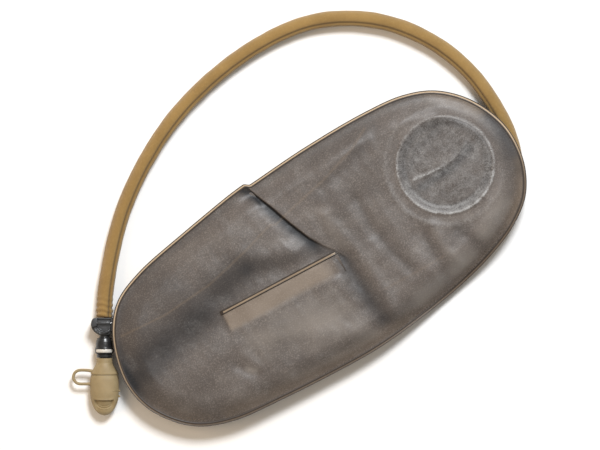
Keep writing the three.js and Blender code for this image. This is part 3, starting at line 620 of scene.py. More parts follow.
def tube_line():
    points = [(x, y, TUBE_Z) for x, y in ROUTE]
    points[-1] = (*ROUTE[-1], (TUBE_Z + MOUTH[2]) / 2)
    back = (-math.sin(TURN) * STRAIGHT_END, math.cos(TURN) * STRAIGHT_END)
    points.append((MOUTH[0] + back[0], MOUTH[1] + back[1], MOUTH[2]))
    points.append(MOUTH)
    return even_spacing(catmull_rom(points, 24), STEP)


def averaged(line, reach=16):
    """A line with each point the mean of its neighbours, and its ends kept."""
    window = np.ones(2 * reach + 1) / (2 * reach + 1)
    padded = np.vstack([2 * line[0] - line[reach:0:-1], line, 2 * line[-1] - line[-2 : -reach - 2 : -1]])
    return np.stack([np.convolve(axis, window, "valid") for axis in padded.T], axis=1)


def without_kinks(line):
    """Even out the short bends but keep the wide ones where they are."""
    wide = averaged(averaged(line))
    return wide + averaged(averaged(line - wide))


TUBE_LINE = without_kinks(tube_line())


def near_angle(angle, centre, width):
    """1 at this angle round the tube, falling to 0 a width away."""
    turn = (angle - centre + math.pi) % (2 * math.pi) - math.pi
    return math.exp(-((turn / width) ** 2))


def add_drink_tube():
    steps = len(TUBE_LINE)
    along = np.arange(steps) * STEP
    waves = [(rng.uniform(14, 60), rng.uniform(0, 6.3), rng.uniform(0, 6.3)) for _ in range(7)]

    def sleeve_radius(i, angle):
        r = SLEEVE_RADIUS - 0.25
        for length, phase, lean in waves:
            r += 0.04 * math.sin(2 * math.pi * along[i] / length + phase + 1.5 * math.cos(angle + lean))
        from_end = along[-1] - along[i]
        folds = math.sin(from_end * 1.15 + 1.3 * math.sin(angle * 2 + 0.6))
        r += math.exp(-((from_end / 15) ** 2)) * (0.85 * folds + 0.3)
        r -= 1.1 * math.exp(-((from_end / 1.6) ** 2))
        r += 0.8 * near_angle(angle, SEAM_ANGLE, 0.15) - 0.5 * near_angle(angle, SEAM_ANGLE + 0.3, 0.12)
        return min(r, SLEEVE_RADIUS + 0.9)

    points, faces = tube(TUBE_LINE, sleeve_radius, SLEEVE_SIDES)
    points[:, 2] = np.maximum(points[:, 2], 0.12)
    sleeve = add_piece(
        "tube_sleeve_woven", (points, faces), "sleeve", "drink_line", "tube_sleeve", sharp=None
    )
    uv = sleeve.data.uv_layers.new(name="weave")
    around = 2 * math.pi * SLEEVE_RADIUS * MM / SLEEVE_SIDES
    for polygon in sleeve.data.polygons:
        wraps = any(v % SLEEVE_SIDES == SLEEVE_SIDES - 1 for v in polygon.vertices)
        for corner, vertex in zip(polygon.loop_indices, polygon.vertices):
            side = vertex % SLEEVE_SIDES
            if wraps and side == 0:
                side = SLEEVE_SIDES
            uv.data[corner].uv = (vertex // SLEEVE_SIDES * STEP * MM, side * around)
    angles = [2 * math.pi * k / SLEEVE_SIDES for k in range(SLEEVE_SIDES)]
    add_attribute(sleeve, "seam", np.tile([near_angle(a, SEAM_ANGLE + 0.3, 0.14) for a in angles], steps))

    hose = tube(TUBE_LINE[::4], HOSE_RADIUS, 20)
    add_piece("drink_hose_tube", hose, "hose", "drink_line", "drink_hose")
    add_stitches(sleeve_radius)
    return sleeve


def add_stitches(radius):
    """Short threads laid along the sleeve beside its seam."""
    left, over = side_vectors(TUBE_LINE)
    angle = SEAM_ANGLE + 0.34
    out = math.cos(angle) * left + math.sin(angle) * over
    seat = TUBE_LINE + out * np.array([radius(i, angle) for i in range(len(TUBE_LINE))])[:, None]
    shapes = []
    for i in range(4, len(TUBE_LINE) - 14, 3):
        bow = (seat[i] + seat[i + 1]) / 2 + out[i] * 0.16
        thread = np.array([seat[i], bow, seat[i + 1]]) + out[i] * 0.06
        shapes.append(tube(thread, lambda k, a: 0.24 if k == 1 else 0.15, 5))
    stitches = add_piece("sleeve_stitches", joined(*shapes), "sleeve", "drink_line", sharp=None)
    stitches.data.materials[0] = STITCH


sleeve_piece = add_drink_tube()

# ------------------------------ the bag's outline and heights

PER_SPAN = 60
EDGE = catmull_rom(OUTLINE, PER_SPAN, closed=True)
LOWER_RUN = EDGE[: HEAD_TIP * PER_SPAN + 1]
UPPER_RUN = np.vstack([EDGE[HEAD_TIP * PER_SPAN :], EDGE[:1]])[::-1]
SPINE_Y = 2.0
SPINE_SHARE = 0.6  # the spine is this much of the bag's length


def edge_loop():
    """The edge all round, from the foot end's tip by the upper side, and the upper side's count.
    Both sides have the same x values, closer together where the fold crosses."""
    half = OUTLINE[HEAD_TIP][0]
    sweep = -half * np.cos(np.linspace(0, math.pi, 380))
    fine = np.arange(-28, 36, 0.55)
    x = np.sort(np.r_[sweep[(sweep < -28.3) | (sweep > 36)], fine])
    x[0], x[-1] = -half, half
    upper = np.interp(x, *UPPER_RUN.T)
    lower = np.interp(x, *LOWER_RUN.T)
    upper[0] = upper[-1] = SPINE_Y
    return np.vstack([np.c_[x, upper], np.c_[x, lower][-2:0:-1]]), len(x)


def fold_shift(x, y):
    """The fold pulls the +Y edge in beyond it and lets it bulge before it."""
    bulge = 1.9 * bell(x + 21, 34)
    pull = -1.7 * bell(x + 14, 46)
    return smoothstep(0, 40, y) * (bulge + (pull - bulge) * smoothstep(-21.5, -15.5, x))


def rim_height(x, y):
    droop = 11.5 * bell(x - 92, 62) * smoothstep(62, 100, -y)
    lift = 2.5 * bell(x + 150, 60) * smoothstep(40, 95, -y)
    over_lock = 1.5 * bell(np.hypot(x + 198, y - 60), 24)
    return RIM_Z - droop + lift + over_lock


def rim_distance(x, y):
    samples = EDGE[::3]
    out = np.empty(len(x))
    for start in range(0, len(x), 4000):
        part = slice(start, start + 4000)
        gap = (x[part, None] - samples[:, 0]) ** 2 + (y[part, None] - samples[:, 1]) ** 2
        out[part] = np.sqrt(gap.min(axis=1))
    return out


def along_line(x, y, points):
    """Distance to a run of points, how far along it (0 to 1), and the side (+1 to its left)."""
    points = np.array(points, float)
    lengths = np.linalg.norm(np.diff(points, axis=0), axis=1)
    best = np.full(len(x), 1e9)
    share = np.zeros(len(x))
    side = np.ones(len(x))
    walked = 0.0
    for a, b, length in zip(points, points[1:], lengths):
        d = (b - a) / length
        s = np.clip((x - a[0]) * d[0] + (y - a[1]) * d[1], 0, length)
        dx, dy = x - a[0] - s * d[0], y - a[1] - s * d[1]
        gap = np.hypot(dx, dy)
        closer = gap < best
        best = np.where(closer, gap, best)
        share = np.where(closer, (walked + s) / lengths.sum(), share)
        side = np.where(closer, np.sign(d[0] * dy - d[1] * dx + 1e-9), side)
        walked += length
    return best, share, side


def line_gap(x, y, points):
    return along_line(x, y, points)[0]


def point_gap(x, y, point):
    return np.hypot(x - point[0], y - point[1])


def wave_field(x, y, sizes, seed):
    """A smooth random field of about -1 to 1, made of waves of these lengths in mm."""
    waves = np.random.default_rng(seed)
    field = np.zeros(len(x))
    for size in sizes:
        for _ in range(5):
            angle, phase = waves.uniform(0, math.pi), waves.uniform(0, 2 * math.pi)
            length = size * waves.uniform(0.8, 1.25)
            travel = x * math.cos(angle) + y * math.sin(angle)
            bend = 3 * np.sin((y * math.cos(angle) - x * math.sin(angle)) / (1.7 * size) + phase)
            field += np.sin(2 * math.pi * travel / length + phase + bend) / (5 * len(sizes)) ** 0.5
    return field


FOLD = [(-20.5, 101), (-16, 86), (-10.5, 70), (-3.8, 47), (3.5, 25), (10.5, 11), (16.5, 2.5), (19.5, -3.5)]
FOLD_TAIL = [(22, -10), (19.5, -32), (18.5, -55), (19.5, -86)]

# Wider ridges and hollows: points, half width and height in mm.
SWELLS = [
    ([(-205, 46), (-150, 45), (-95, 47), (-55, 50)], 14, 1.7),
    ([(-205, 12), (-150, 8), (-112, 4)], 15, -2.2),
    ([(-100, 22), (-60, 24), (-30, 12), (-5, 8)], 10, -1.5),
    ([(-60, 45), (-45, 30), (-20, 22)], 9, 0.9),
    ([(-190, -22), (-140, -20), (-112, -24)], 11, 1.3),
    ([(-190, -52), (-150, -50), (-125, -60)], 9, -0.7),
    ([(-119, -40), (-114, -50), (-108, -54)], 5, -1.2),
    ([(-108, -36), (-104, -50)], 5, 0.8),
    ([(-70, -32), (-30, -34), (0, -30)], 12, 1.1),
    ([(-40, -60), (-15, -72), (0, -84)], 10, 1.0),
    ([(28, 34), (32, 0), (36, -40), (33, -84)], 7, 1.6),
    ([(47, 60), (46, 20), (50, -20)], 10, 0.7),
    ([(60, 30), (58, -4), (62, -34), (68, -52)], 6, -1.2),
    ([(76, 0), (76, -30), (82, -70)], 8, 0.9),
    ([(95, -30), (93, -60), (92, -80)], 6, -1.1),
    ([(107, -30), (105, -55), (112, -80)], 6, 1.2),
    ([(124, -46), (130, -62), (136, -74)], 7, -1.2),
    ([(150, -60), (156, -70)], 8, 0.7),
    ([(40, 57), (80, 62), (112, 74)], 7, -0.9),
    ([(0, 56), (40, 68), (100, 86)], 9, 0.45),
    ([(176, 62), (196, 40), (203, 12), (200, -22)], 7, -1.4),
    ([(160, 80), (186, 64)], 7, 0.8),
]

# Darker places are painted shade, in hollows, creases and on slopes turned from the light; lighter places
# are painted highlights and hazed film: points, half width and amount.
SHADE_AND_LIGHT_STROKES = [
    ([(-212, 8), (-160, 17), (-115, 25), (-70, 33)], 19, -0.6),
    ([(-196, -2), (-140, 4), (-118, 12)], 14, -0.22),
    ([(-60, 32), (-35, 20), (0, 12)], 8, -0.3),
    ([(-205, 36), (-214, 10), (-213, -10)], 8, -0.2),
    ([(20, -12), (18, -40), (18.5, -60), (20, -80)], 9, -0.62),
    ([(60, -84), (118, -74), (174, -50)], 11, 0.3),
    ([(-130, -80), (-60, -88), (20, -90)], 8, 0.15),
    ([(60, 34), (57, 0), (62, -34), (68, -52)], 5, -0.2),
    ([(95, -36), (92, -78)], 6, -0.2),
    ([(126, -48), (136, -74)], 7, -0.3),
    ([(206, 34), (208, 4), (204, -28)], 8, -0.55),
    ([(30, 54), (70, 60), (112, 76)], 8, -0.22),
    ([(10, 74), (60, 84), (110, 88)], 9, -0.12),
    ([(118, 6), (140, 6), (152, 6), (175, 12)], 5.5, -0.5),
    ([(112, 22), (132, 38), (160, 44)], 5, -0.2),
    ([(-16, 84), (-10, 62), (-4, 42), (4, 22)], 3.5, -0.25),
    ([(-176, 54), (-130, 60)], 15, -0.24),
    ([(-100, 62), (-50, 66)], 16, 0.07),
    ([(-36, -34), (-20, -56), (-2, -82)], 15, 0.16),
    ([(-84, -30), (-50, -42), (-24, -48)], 15, 0.26),
    ([(27, 44), (26, 10), (30, -30)], 6, 0.13),
    ([(-112, -48), (-108, -52)], 3.5, 0.35),
    ([(104, -34), (106, -58), (114, -80)], 5, 0.12),
    ([(-4, -20), (-2, -50)], 6, 0.07),
]
# Warmer, lighter bands along the edge: painted light showing through the thinner film there. Points, half
# width and amount.
RIM_GLOW_WARMTHS = [
    ([(176, 78), (196, 56), (204, 38)], 8, 0.30),
    ([(170, -72), (196, -48), (208, -24)], 6, 0.22),
    ([(-150, -72), (-60, -88), (40, -92)], 8, 0.10),
    ([(-205, -30), (-180, -58)], 12, 0.05),
]
GUIDE_LINE = [(-196, 44), (-150, 38), (-100, 39), (-50, 47), (0, 57), (45, 63), (82, 72), (104, 82)]
LOWER_LINE = [(36, -55), (70, -58), (100, -60)]

BAR = [(116, 16), (132, 13), (149, 10.5), (163, 13), (176, 18)]  # the cap's grip bar, felt through
PAD_WIDTH = 19

# The centre baffle's weld, from its foot end to its head end.
BAFFLE_START, BAFFLE_END = np.array([(-104.5, 10.2), (18, -1.3)])
BAFFLE_LENGTH = np.linalg.norm(BAFFLE_END - BAFFLE_START)
ALONG = (BAFFLE_END - BAFFLE_START) / BAFFLE_LENGTH
ACROSS = np.array((-ALONG[1], ALONG[0]))


def baffle_frame(x, y):
    """Distance along and across the centre baffle's weld."""
    dx, dy = x - BAFFLE_START[0], y - BAFFLE_START[1]
    return dx * ALONG[0] + dy * ALONG[1], dy * ALONG[0] - dx * ALONG[1]


def strokes(x, y, table):
    total = np.zeros(len(x))
    for points, width, amount in table:
        total += amount * bell(line_gap(x, y, points), width)
    return total


def fold_relief(x, y):
    gap, share, side = along_line(x, y, FOLD)
    signed = -side * gap
    depth = smoothstep(0.0, 0.12, share) * (1 - 0.85 * smoothstep(0.55, 1.0, share))
    wall = smoothstep(-0.9, 1.5, signed) * bell(np.maximum(signed, 0), 14)
    lip = 0.12 * bell(signed + 2, 3) * bell(np.minimum(signed, 0), 9)
    ends = np.where((share > 0.999) | (share < 0.001), bell(gap, 7), 1)
    return depth * ends * (lip - 4.0 * wall)


def back_height(x, y, rim):
    """The back film's height, with its folds, swells and the filler's print."""
    relief = strokes(x, y, SWELLS) + 0.3 * wave_field(x, y, (34, 60), 7)
    relief += 0.07 * wave_field(x, y, (9, 15), 4)
    relief -= 2.6 * bell(line_gap(x, y, FOLD_TAIL), 9.5)
    radius = point_gap(x, y, CAP)
    for ring, width, height in ((45.8, 1.7, 0.75), (41, 1.3, 0.25), (57, 2.6, 0.35)):
        relief += height * bell(radius - ring, width)
    relief -= 0.8 * smoothstep(44.5, 38, radius)
    relief += 0.5 * smoothstep(2.2, 0, line_gap(x, y, BAR))
    u, v = baffle_frame(x, y)
    pad = smoothstep(-2, 2, u) * smoothstep(125, 112, u)
    pad *= smoothstep(-PAD_WIDTH - 3, -PAD_WIDTH + 2, v) * smoothstep(0.8, -0.8, v)
    relief = relief * (1 - 0.8 * pad) - 0.7 * pad
    z = rim_height(x, y) + 0.7 + POUCH * smoothstep(*POUCH_SLOPE, rim)
    return z + smoothstep(6, 22, rim) * relief + fold_relief(x, y) * smoothstep(1, 16, rim)


# Where the film's rings lie: mm in from the edge, then shares of the rest of the way.
NEAR_RINGS = [3.6, 4.6, 5.4, 6.2, 7.2, 8.4]
RING_SHARES = np.linspace(0, 1, 72)[1:-1]


def film_grid():
    """Points over the bag between the edge and the spine, with their faces."""
    edge, top = edge_loop()
    count = len(edge)
    spine = np.c_[edge[:, 0] * SPINE_SHARE, np.full(count, SPINE_Y)]
    reach = np.linalg.norm(spine - edge, axis=1)[:, None]
    toward = (spine - edge) / reach
    square = np.maximum(0.35, (toward * right_of(edge)).sum(axis=1))[:, None]
    last = NEAR_RINGS[-1] / square
    rings = [edge + toward * (d / square) for d in NEAR_RINGS]
    rings += [edge + toward * (last + (reach - last) * s) for s in RING_SHARES]
    points = np.vstack([*rings, spine[:top]])
    faces = grid_faces(len(rings), count, wrap_columns=True)
    base, first = (len(rings) - 1) * count, len(rings) * count
    for j in range(count):
        k = (j + 1) % count
        on_spine = [first + (i if i < top else 2 * top - 2 - i) for i in (j, k)]
        faces.append((base + j, on_spine[0], on_spine[1], base + k))
    return points, faces


def film_piece(name, points, heights, faces, node):
    places = np.c_[points[:, 0], points[:, 1] + fold_shift(*points.T), heights]
    return add_piece(name, (places, faces), "film", "reservoir", node, sharp=None)


def back_dust(x, y):
    """Scuffs where the filler and the cap's grip bar rub."""
    radius = point_gap(x, y, CAP)
    angle = np.arctan2(y - CAP[1], x - CAP[0])
    foot_side = 0.5 + 0.5 * np.cos(angle - math.radians(250))
    outer = 0.5 + 0.5 * np.cos(angle - math.radians(205))
    dust_and_shade = (0.2 + 0.5 * foot_side) * bell(radius - 46, 0.9)
    dust_and_shade += (0.1 + 0.12 * foot_side) * smoothstep(36, 40, radius) * smoothstep(47, 45, radius)
    dust_and_shade += 0.12 * outer * bell(radius - 57, 2.5)
    dust_and_shade += 0.12 * smoothstep(45, 30, radius) * (1 + 0.4 * wave_field(x, y, (13, 28), 11))
    bar, share, _ = along_line(x, y, BAR)
    dust_and_shade += bell(bar, 1.0) * (0.5 - 0.4 * smoothstep(0.4, 0.6, share))
    return dust_and_shade + 0.05 * smoothstep(0.5, 1.6, wave_field(x, y, (26, 44), 17))


def colour_back(back, x, y, rim):
    """Paints the back film: painted shade in the folds, hollows and slopes turned from the light, painted
    highlights, tan over the baffle, scuffed round the filler.
    """
    shade_light_and_tone = strokes(x, y, SHADE_AND_LIGHT_STROKES) + 0.05 * wave_field(x, y, (22, 45), 8)
    gap, share, side = along_line(x, y, FOLD)
    signed = -side * gap
    in_fold = smoothstep(0, 0.03, share) * (1 - 0.7 * smoothstep(0.6, 1, share))
    # Painted shade in the fold's valley, where the film overlaps, and a painted highlight along its lip.
    shade_light_and_tone -= 0.92 * in_fold * smoothstep(-0.5, 1.0, signed) * bell(np.maximum(signed - 3.5, 0), 6.5)
    shade_light_and_tone += 0.22 * in_fold * bell(signed + 0.9, 0.6)
    shade_light_and_tone -= 0.25 * smoothstep(13, 6, rim)
    radius = point_gap(x, y, CAP)
    shade_light_and_tone -= 0.2 * smoothstep(46, 43, radius)
    shade_light_and_tone -= 0.28 * smoothstep(35, 39, radius) * smoothstep(45.5, 44, radius)
    u, v = baffle_frame(x, y)
    pad = smoothstep(-1, 1.5, u) * smoothstep(124, 98, u) * smoothstep(0.5, -0.5, v)
    pad *= smoothstep(-PAD_WIDTH - 3.4, -PAD_WIDTH + 3 + 2.5 * smoothstep(30, 70, u), v)
    shade_light_and_tone = shade_light_and_tone * (1 - 0.6 * pad) + pad * (0.24 + 0.06 * wave_field(x, y, (18, 30), 31))
    warm = strokes(x, y, RIM_GLOW_WARMTHS) + 0.34 * pad
    warm += 0.2 * bell(line_gap(x, y, GUIDE_LINE), 0.9) + 0.12 * bell(line_gap(x, y, LOWER_LINE), 0.9)
    add_attribute(back, "shade_light_and_tone", np.clip(shade_light_and_tone, -1, 1))
    add_attribute(back, "warm", np.clip(warm, 0, 1))
    add_attribute(back, "dust_and_shade", np.clip(back_dust(x, y), 0, 1))


def add_films():
    points, faces = film_grid()
    x, y = points.T
    rim = rim_distance(x, y)
    clear = smoothstep(24, 4, rim) * (0.15 + 0.45 * smoothstep(10, -60, y))
    back = film_piece("back_panel", points, back_height(x, y, rim), faces, "back_film")
    colour_back(back, x, y, rim)
    add_attribute(back, "clear", clear)

    slack = rim_height(x, y) - 0.7 + smoothstep(6, 22, rim) * 0.5 * wave_field(x, y, (40, 70), 21)
    by_filler = smoothstep(70, 56, point_gap(x, y, CAP))
    by_outlet = smoothstep(32, 19, point_gap(x, y, OUTLET))
    level = rim_height(x, y) - 0.6
    heights = slack + (level - slack) * np.maximum(by_filler, by_outlet)
    keep = []
    for face in faces:
        centre = points[list(face)].mean(axis=0)
        if math.dist(centre, CAP) >= NECK - 1.2 and math.dist(centre, OUTLET) >= 8.6:
            keep.append(face[::-1])
    front = film_piece("front_panel", points, heights, keep, "front_film")
    add_attribute(front, "shade_light_and_tone", 0.1 * wave_field(x, y, (22, 45), 9) - 0.15)
    add_attribute(front, "clear", clear)


def paint_weld(weld, is_tan, shade_light_and_tone, dust_and_shade):
    """Gives the faces of the tan strip their own material, and the whole weld its colouring, with its
    painted highlight and painted shade.
    """
    weld.data.materials.append(WELD_TAN)
    for polygon in weld.data.polygons:
        polygon.material_index = int(is_tan(polygon.vertices))
    add_attribute(weld, "shade_light_and_tone", shade_light_and_tone)
    add_attribute(weld, "dust_and_shade", dust_and_shade)


def add_rim_weld():
    """The welded edge all round: a dark outer bead, a clear tan strip and an inner bead."""
    edge, _ = edge_loop()
    inward = right_of(edge)
    profile = [
        (0.1, 0.3), (0.2, 0.8), (0.45, 1.0), (0.8, 0.9), (1.0, 0.65), (1.3, 0.7), (1.8, 0.72),
        (2.2, 0.62), (2.45, 0.85), (2.9, 1.1), (3.4, 1.0), (3.9, 0.6), (4.4, 0.5), (4.4, -0.6),
        (3.8, -1.0), (2.3, -0.9), (0.8, -1.0), (0.2, -0.7),
    ]
    count = len(edge)
    points = []
    for inset, height in profile:
        place = edge + inward * inset
        z = rim_height(*edge.T) + height
        points.append(np.c_[place[:, 0], place[:, 1] + fold_shift(*edge.T), z])
    faces = grid_faces(len(profile), count, wrap_rows=True, wrap_columns=True)
    weld = add_piece("rim_weld", (np.vstack(points), faces), "weld", "reservoir", sharp=None)
    # A painted highlight along the side and the head end that face the light, and painted shade along the
    # other side.
    angle = np.tile(np.arctan2(edge[:, 1], edge[:, 0] * 0.45), len(profile))
    painted_rim_highlight = 0.65 * smoothstep(0.1, 0.8, np.sin(angle)) + 0.7 * bell(angle - 0.05, 0.4)
    painted_rim_shade = 0.75 * smoothstep(0.1, -0.5, np.sin(angle))
    paint_weld(weld, lambda face: 4 <= min(face) // count <= 6, np.clip(painted_rim_highlight, 0, 1), painted_rim_shade)


def add_baffle_weld():
    """The line where the centre baffle is welded on, standing proud like the rim."""
    profile = [
        (2.2, -0.8), (1.9, 0.2), (1.6, 0.6), (1.2, 0.65), (0.8, 0.3), (0.5, 0.35), (0.0, 0.45),
        (-0.4, 0.35), (-0.7, 0.3), (-1.0, 0.6), (-1.4, 0.6), (-1.7, 0.2), (-2.0, -0.9),
    ]
    end = BAFFLE_LENGTH + 1.4
    runs = (np.linspace(-1.4, 1.6, 7), np.linspace(2.5, end - 4.4, 90), np.linspace(end - 3.4, end, 7))
    stations = np.concatenate(runs)
    beside = (BAFFLE_START + np.outer(stations, ALONG) - ACROSS * 4).T
    level = back_height(*beside, rim_distance(*beside)) + 0.55
    points = []
    for s, base in zip(stations, level):
        taper = min(1.0, 0.35 + 0.25 * max(0.0, s + 1.4), 0.35 + 0.3 * max(0.0, end - s))
        spread = min(1.0, 0.75 + 0.1 * max(0.0, end - s))
        for v, h in profile:
            points.append((*(BAFFLE_START + ALONG * s + ACROSS * v * spread), base + h * taper))
    count = len(profile)
    faces = [f[::-1] for f in grid_faces(len(stations), count)]
    weld = add_piece("baffle_weld", (points, faces), "weld", "reservoir", sharp=None)

    def is_tan(face):
        inside = 6 <= min(face) // count <= len(stations) - 8
        return inside and 4 <= min(v % count for v in face) <= 7

    paint_weld(weld, is_tan, np.full(len(points), 0.25), np.full(len(points), 0.25))


def add_baffle_strip():
    """The strip inside the bag, welded to one film along each of its flanges."""
    section = rounded([(-PAD_WIDTH, 20.6), (0, 20.6), (0, 26.2), (-PAD_WIDTH, 26.2)], 2.0, 5)
    points = []
    for s in np.linspace(0.5, BAFFLE_LENGTH - 0.5, 60):
        sway = 0.5 * math.sin(s / 11) + 0.3 * math.sin(s / 4.3)
        for v, z in section:
            place = BAFFLE_START + ALONG * s + ACROSS * (v - 0.6)
            points.append((*place, z - abs(0.25 * sway * smoothstep(0, -10, v))))
    shape = facing_out(points, grid_faces(60, len(section), wrap_columns=True))
    add_piece("baffle_strip", shape, "film", "reservoir", "centre_baffle", sharp=None)


add_films()
add_rim_weld()
add_baffle_weld()
add_baffle_strip()

# ------------------------------ the filler and its cap


def cap_swell(angle, radius, height):
    """Twelve notches round the cap's rim, and a knurl above them."""
    turn = (angle * 12 / (2 * math.pi)) % 1 - 0.5
    notch = math.exp(-((turn / 0.13) ** 2)) if radius > 49.8 and height < 4 else 0
    knurl = 0.22 * math.cos(angle * 90) if radius > 48.8 and 8 < height < 14 else 0
    return -1.5 * notch + knurl


def grip_bar(length=41.6, half=8.0):
    """The bar across the cap's face, with round ends, and raised rings beside it."""
    swing = math.pi / 2 - math.acos(half / length)
    outline = [
        (length * math.cos(a), length * math.sin(a))
        for side in (0, math.pi)
        for a in np.linspace(-swing + side, swing + side, 9)
    ]
    rings = []
    for radius in (12, 24, 36):
        low = math.asin((half + 1.2) / radius)
        for side in (1, -1):
            sweep = np.linspace(low, math.pi - low, 40) * side
            line = np.c_[radius * np.cos(sweep), radius * np.sin(sweep), np.full(40, 10.95)]
            rings.append(tube(line, 0.35, 6))
    return joined(pillow_slab(outline, 0, 11.6, 1.4), *rings)


def add_filler():
    neck = lathed(
        0.45, 144,
        (43.5, 12), (43.5, 4.6), (46.3, 4.6), (46.3, 20.1), (55, 20.15), (55, 20.8),
        (47.3, 21.7), (45.9, 24.5), (43.9, 24.5), (43.5, 23.9), (43.5, 12),
    )
    thread = tube(helix(46.3, 6, 11.3, 1.25, 60), 0.8, 8)
    stop = moved(shifted(box_slab(1.2, 2.2, 12.2, 15.5), 46.4, 0, 0), Matrix.Rotation(0.5, 4, "Z"))
    port = moved(joined(neck, thread, stop), IN_FILLER)
    add_piece("filler_neck", port, "black_plastic", "reservoir", "fill_port")

    profile = rounded(
        [
            (0, 11), (41.2, 11), (41.2, 1), (42.2, 0), (51.3, 0), (52.3, 1), (52.3, 3.4), (49.3, 4.2),
            (49.3, 7.6), (49.3, 8.2), (49.3, 13.9), (49.3, 14.3), (50.2, 15), (49.3, 16), (47.7, 16),
            (47.7, 2.8), (43, 2.8), (43, 13), (0, 13),
        ],
        0.5,
        3,
    )
    cap = moved(joined(turned(profile, 360, cap_swell), grip_bar()), IN_FILLER)
    add_piece("screw_cap", cap, "black_plastic", "cap", "fill_cap", sharp=30)

    gasket = moved(ring(43.4, 46.6, 3.1, 4.3), IN_FILLER)
    add_piece("cap_seal_ring", gasket, "silicone", "cap_seal", "cap_gasket")
    loose_ring = moved(ring(49.6, 51.9, 4.6, 7.0, 0.6), IN_FILLER)
    add_piece("cap_ring", loose_ring, "tether", "cap_hanger", "cap_tether_ring")


def add_cap_strap():
    """The rubber strap: out from the neck's ring, round, and back to the cap's ring."""
    low, high, reach, thick, width = 5.8, 17.55, 78, 2.3, 12
    bend = (high - low) / 2
    path = [(x, high) for x in np.linspace(47.4, reach, 16)]
    for turn in np.radians(np.linspace(90, -90, 19)[1:]):
        path.append((reach + bend * math.cos(turn), low + bend + bend * math.sin(turn)))
    path += [(x, low) for x in np.linspace(reach, 52.3, 14)[1:]]
    path = np.array(path)
    ahead = unit(np.gradient(path, axis=0))
    section = rounded_box_outline(width / 2, thick / 2, 0.8, 3)
    points = []
    for (x, z), (ax, az) in zip(path, ahead):
        for across, out in section:
            rib = 0.12 * math.cos(across * math.pi / 1.5) if abs(across) < 4 else 0
            depth = out + math.copysign(rib, out)
            points.append((x - az * depth, across, z + ax * depth))
    strap = moved(with_ends(points, len(section)), Matrix.Rotation(math.radians(152), 4, "Z"))
    strap = moved(joined(ring(46.6, 49.1, 16.4, 18.7, 0.6), strap), IN_FILLER)
    piece = add_piece("cap_strap", strap, "tether", None)
    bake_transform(piece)
    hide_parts("cap_tether")


add_filler()
add_cap_strap()

# ------------------------------ the outlet


def add_outlet():
    socket = lathed(
        0.3, 72,
        (6.1, 12), (6.1, 11.5), (9.8, 11.5), (9.8, 20.1), (18, 20.15), (18, 21.1), (9.8, 21.7),
        (7.7, 24.3), (6.1, 24.3), (6.1, 15.8), (4.2, 15.8), (4.2, 15.0), (6.1, 15.0), (6.1, 12),
    )
    socket = moved(joined(socket, box_slab(6.8, 1.2, 23.3, 24.3, 0.4, 0.2)), IN_OUTLET)
    add_piece("outlet_socket", socket, "black_plastic", "reservoir", "outlet_port")
    disc = lathed(0.3, 48, (0, 19.0), (5.3, 19.0), (5.3, 20.1), (2.4, 20.2), (2.4, 20.9), (0, 20.9))
    add_piece("valve_disc", moved(disc, IN_OUTLET), "silicone", "poppet", "outlet_poppet")
    coil = moved(tube(helix(3.6, 20.75, 22.7, 2, 24), 0.33, 8), IN_OUTLET)
    add_piece("valve_spring", coil, "steel", "reservoir", "poppet_spring")


def add_outlet_button():
    housing = moved(shifted(box_slab(5.5, 7.5, 11.5, 18.1, 3, 0.7), -12.2, 0, 0), IN_OUTLET)
    pocket = moved(shifted(box_slab(4.7, 5.2, 12.5, 17.1, 1.0, 0.1), -15.3, 0, 0), IN_OUTLET)
    bore = moved(turned([(0, 9), (6.3, 9), (6.3, 20), (0, 20)], 48), IN_OUTLET)
    add_piece("button_housing", housing, "black_plastic", "reservoir", cuts=(pocket, bore))
    pad = [box_slab(3.7, 4.8, 12.9, 16.7, 1.5, 0.6)]
    for y in (-2.4, -0.8, 0.8, 2.4):
        pad.append(tube(np.array([(-3.6, y, 13.8), (-3.6, y, 15.8)]), 0.3, 8, up=(1, 0, 0)))
    button = moved(shifted(joined(*pad), -16.9, 0, 0), IN_OUTLET)
    add_piece("release_pad", button, "grey_plastic", "outlet_button", "release_button")


def add_elbow():
    plug = lathed(
        0.35, 72,
        (0, 2), (6.4, 2), (7.6, 3.4), (7.6, 11.2), (5.8, 11.2), (5.8, 12.2), (4.5, 12.2), (4.5, 14.0),
        (5.8, 14.0), (5.8, 14.7), (3.7, 14.7), (3.4, 18.7), (1.9, 18.7), (1.9, 15),
    )
    to_x = Matrix.Rotation(math.pi / 2, 4, "Y")
    arm = shifted(moved(pillow_slab(rounded_box_outline(4.3, 5, 2.2), 0, 12.6, 0.4), to_x), 0, 0, 6.95)
    shoulder = lathed(0.6, 48, (0, 10.6), (6.4, 10.6), (6.4, 13.4), (0, 13.4))
    spigot = turned([(0, 12), (2.7, 12), (2.7, 18.2), (1.7, 18.5), (1.7, 14)], 32)
    outlet_end = shifted(moved(joined(shoulder, spigot), to_x), 0, 0, TUBE_Z)
    foot = shifted(box_slab(8.4, 6, 0, 3, 3, 0.5), 1.5, 0, 0)
    elbow = moved(joined(plug, arm, outlet_end, foot), IN_OUTLET)
    add_piece("elbow_body", elbow, "black_plastic", "drink_line", "outlet_elbow")


add_outlet()
add_outlet_button()
add_elbow()

# ------------------------------ the shut-off lock


def lock_outline():
    """The lock from above, anticlockwise: a flat right side, a bulging left cheek, a round foot."""
    left = bezier((-8.5, -0.5), (-11.4, -0.8), (-12.4, -3.5), (-12.4, -7.2))
    foot = bezier((-12.4, -7.2), (-12.4, -11.4), (-9.6, -14.2), (-6, -16.2))
    right = bezier((4.8, -16.2), (7.6, -14.8), (8.9, -12.8), (8.9, -10))
    return np.vstack([[(8.9, -0.5)], left, foot[1:], right])


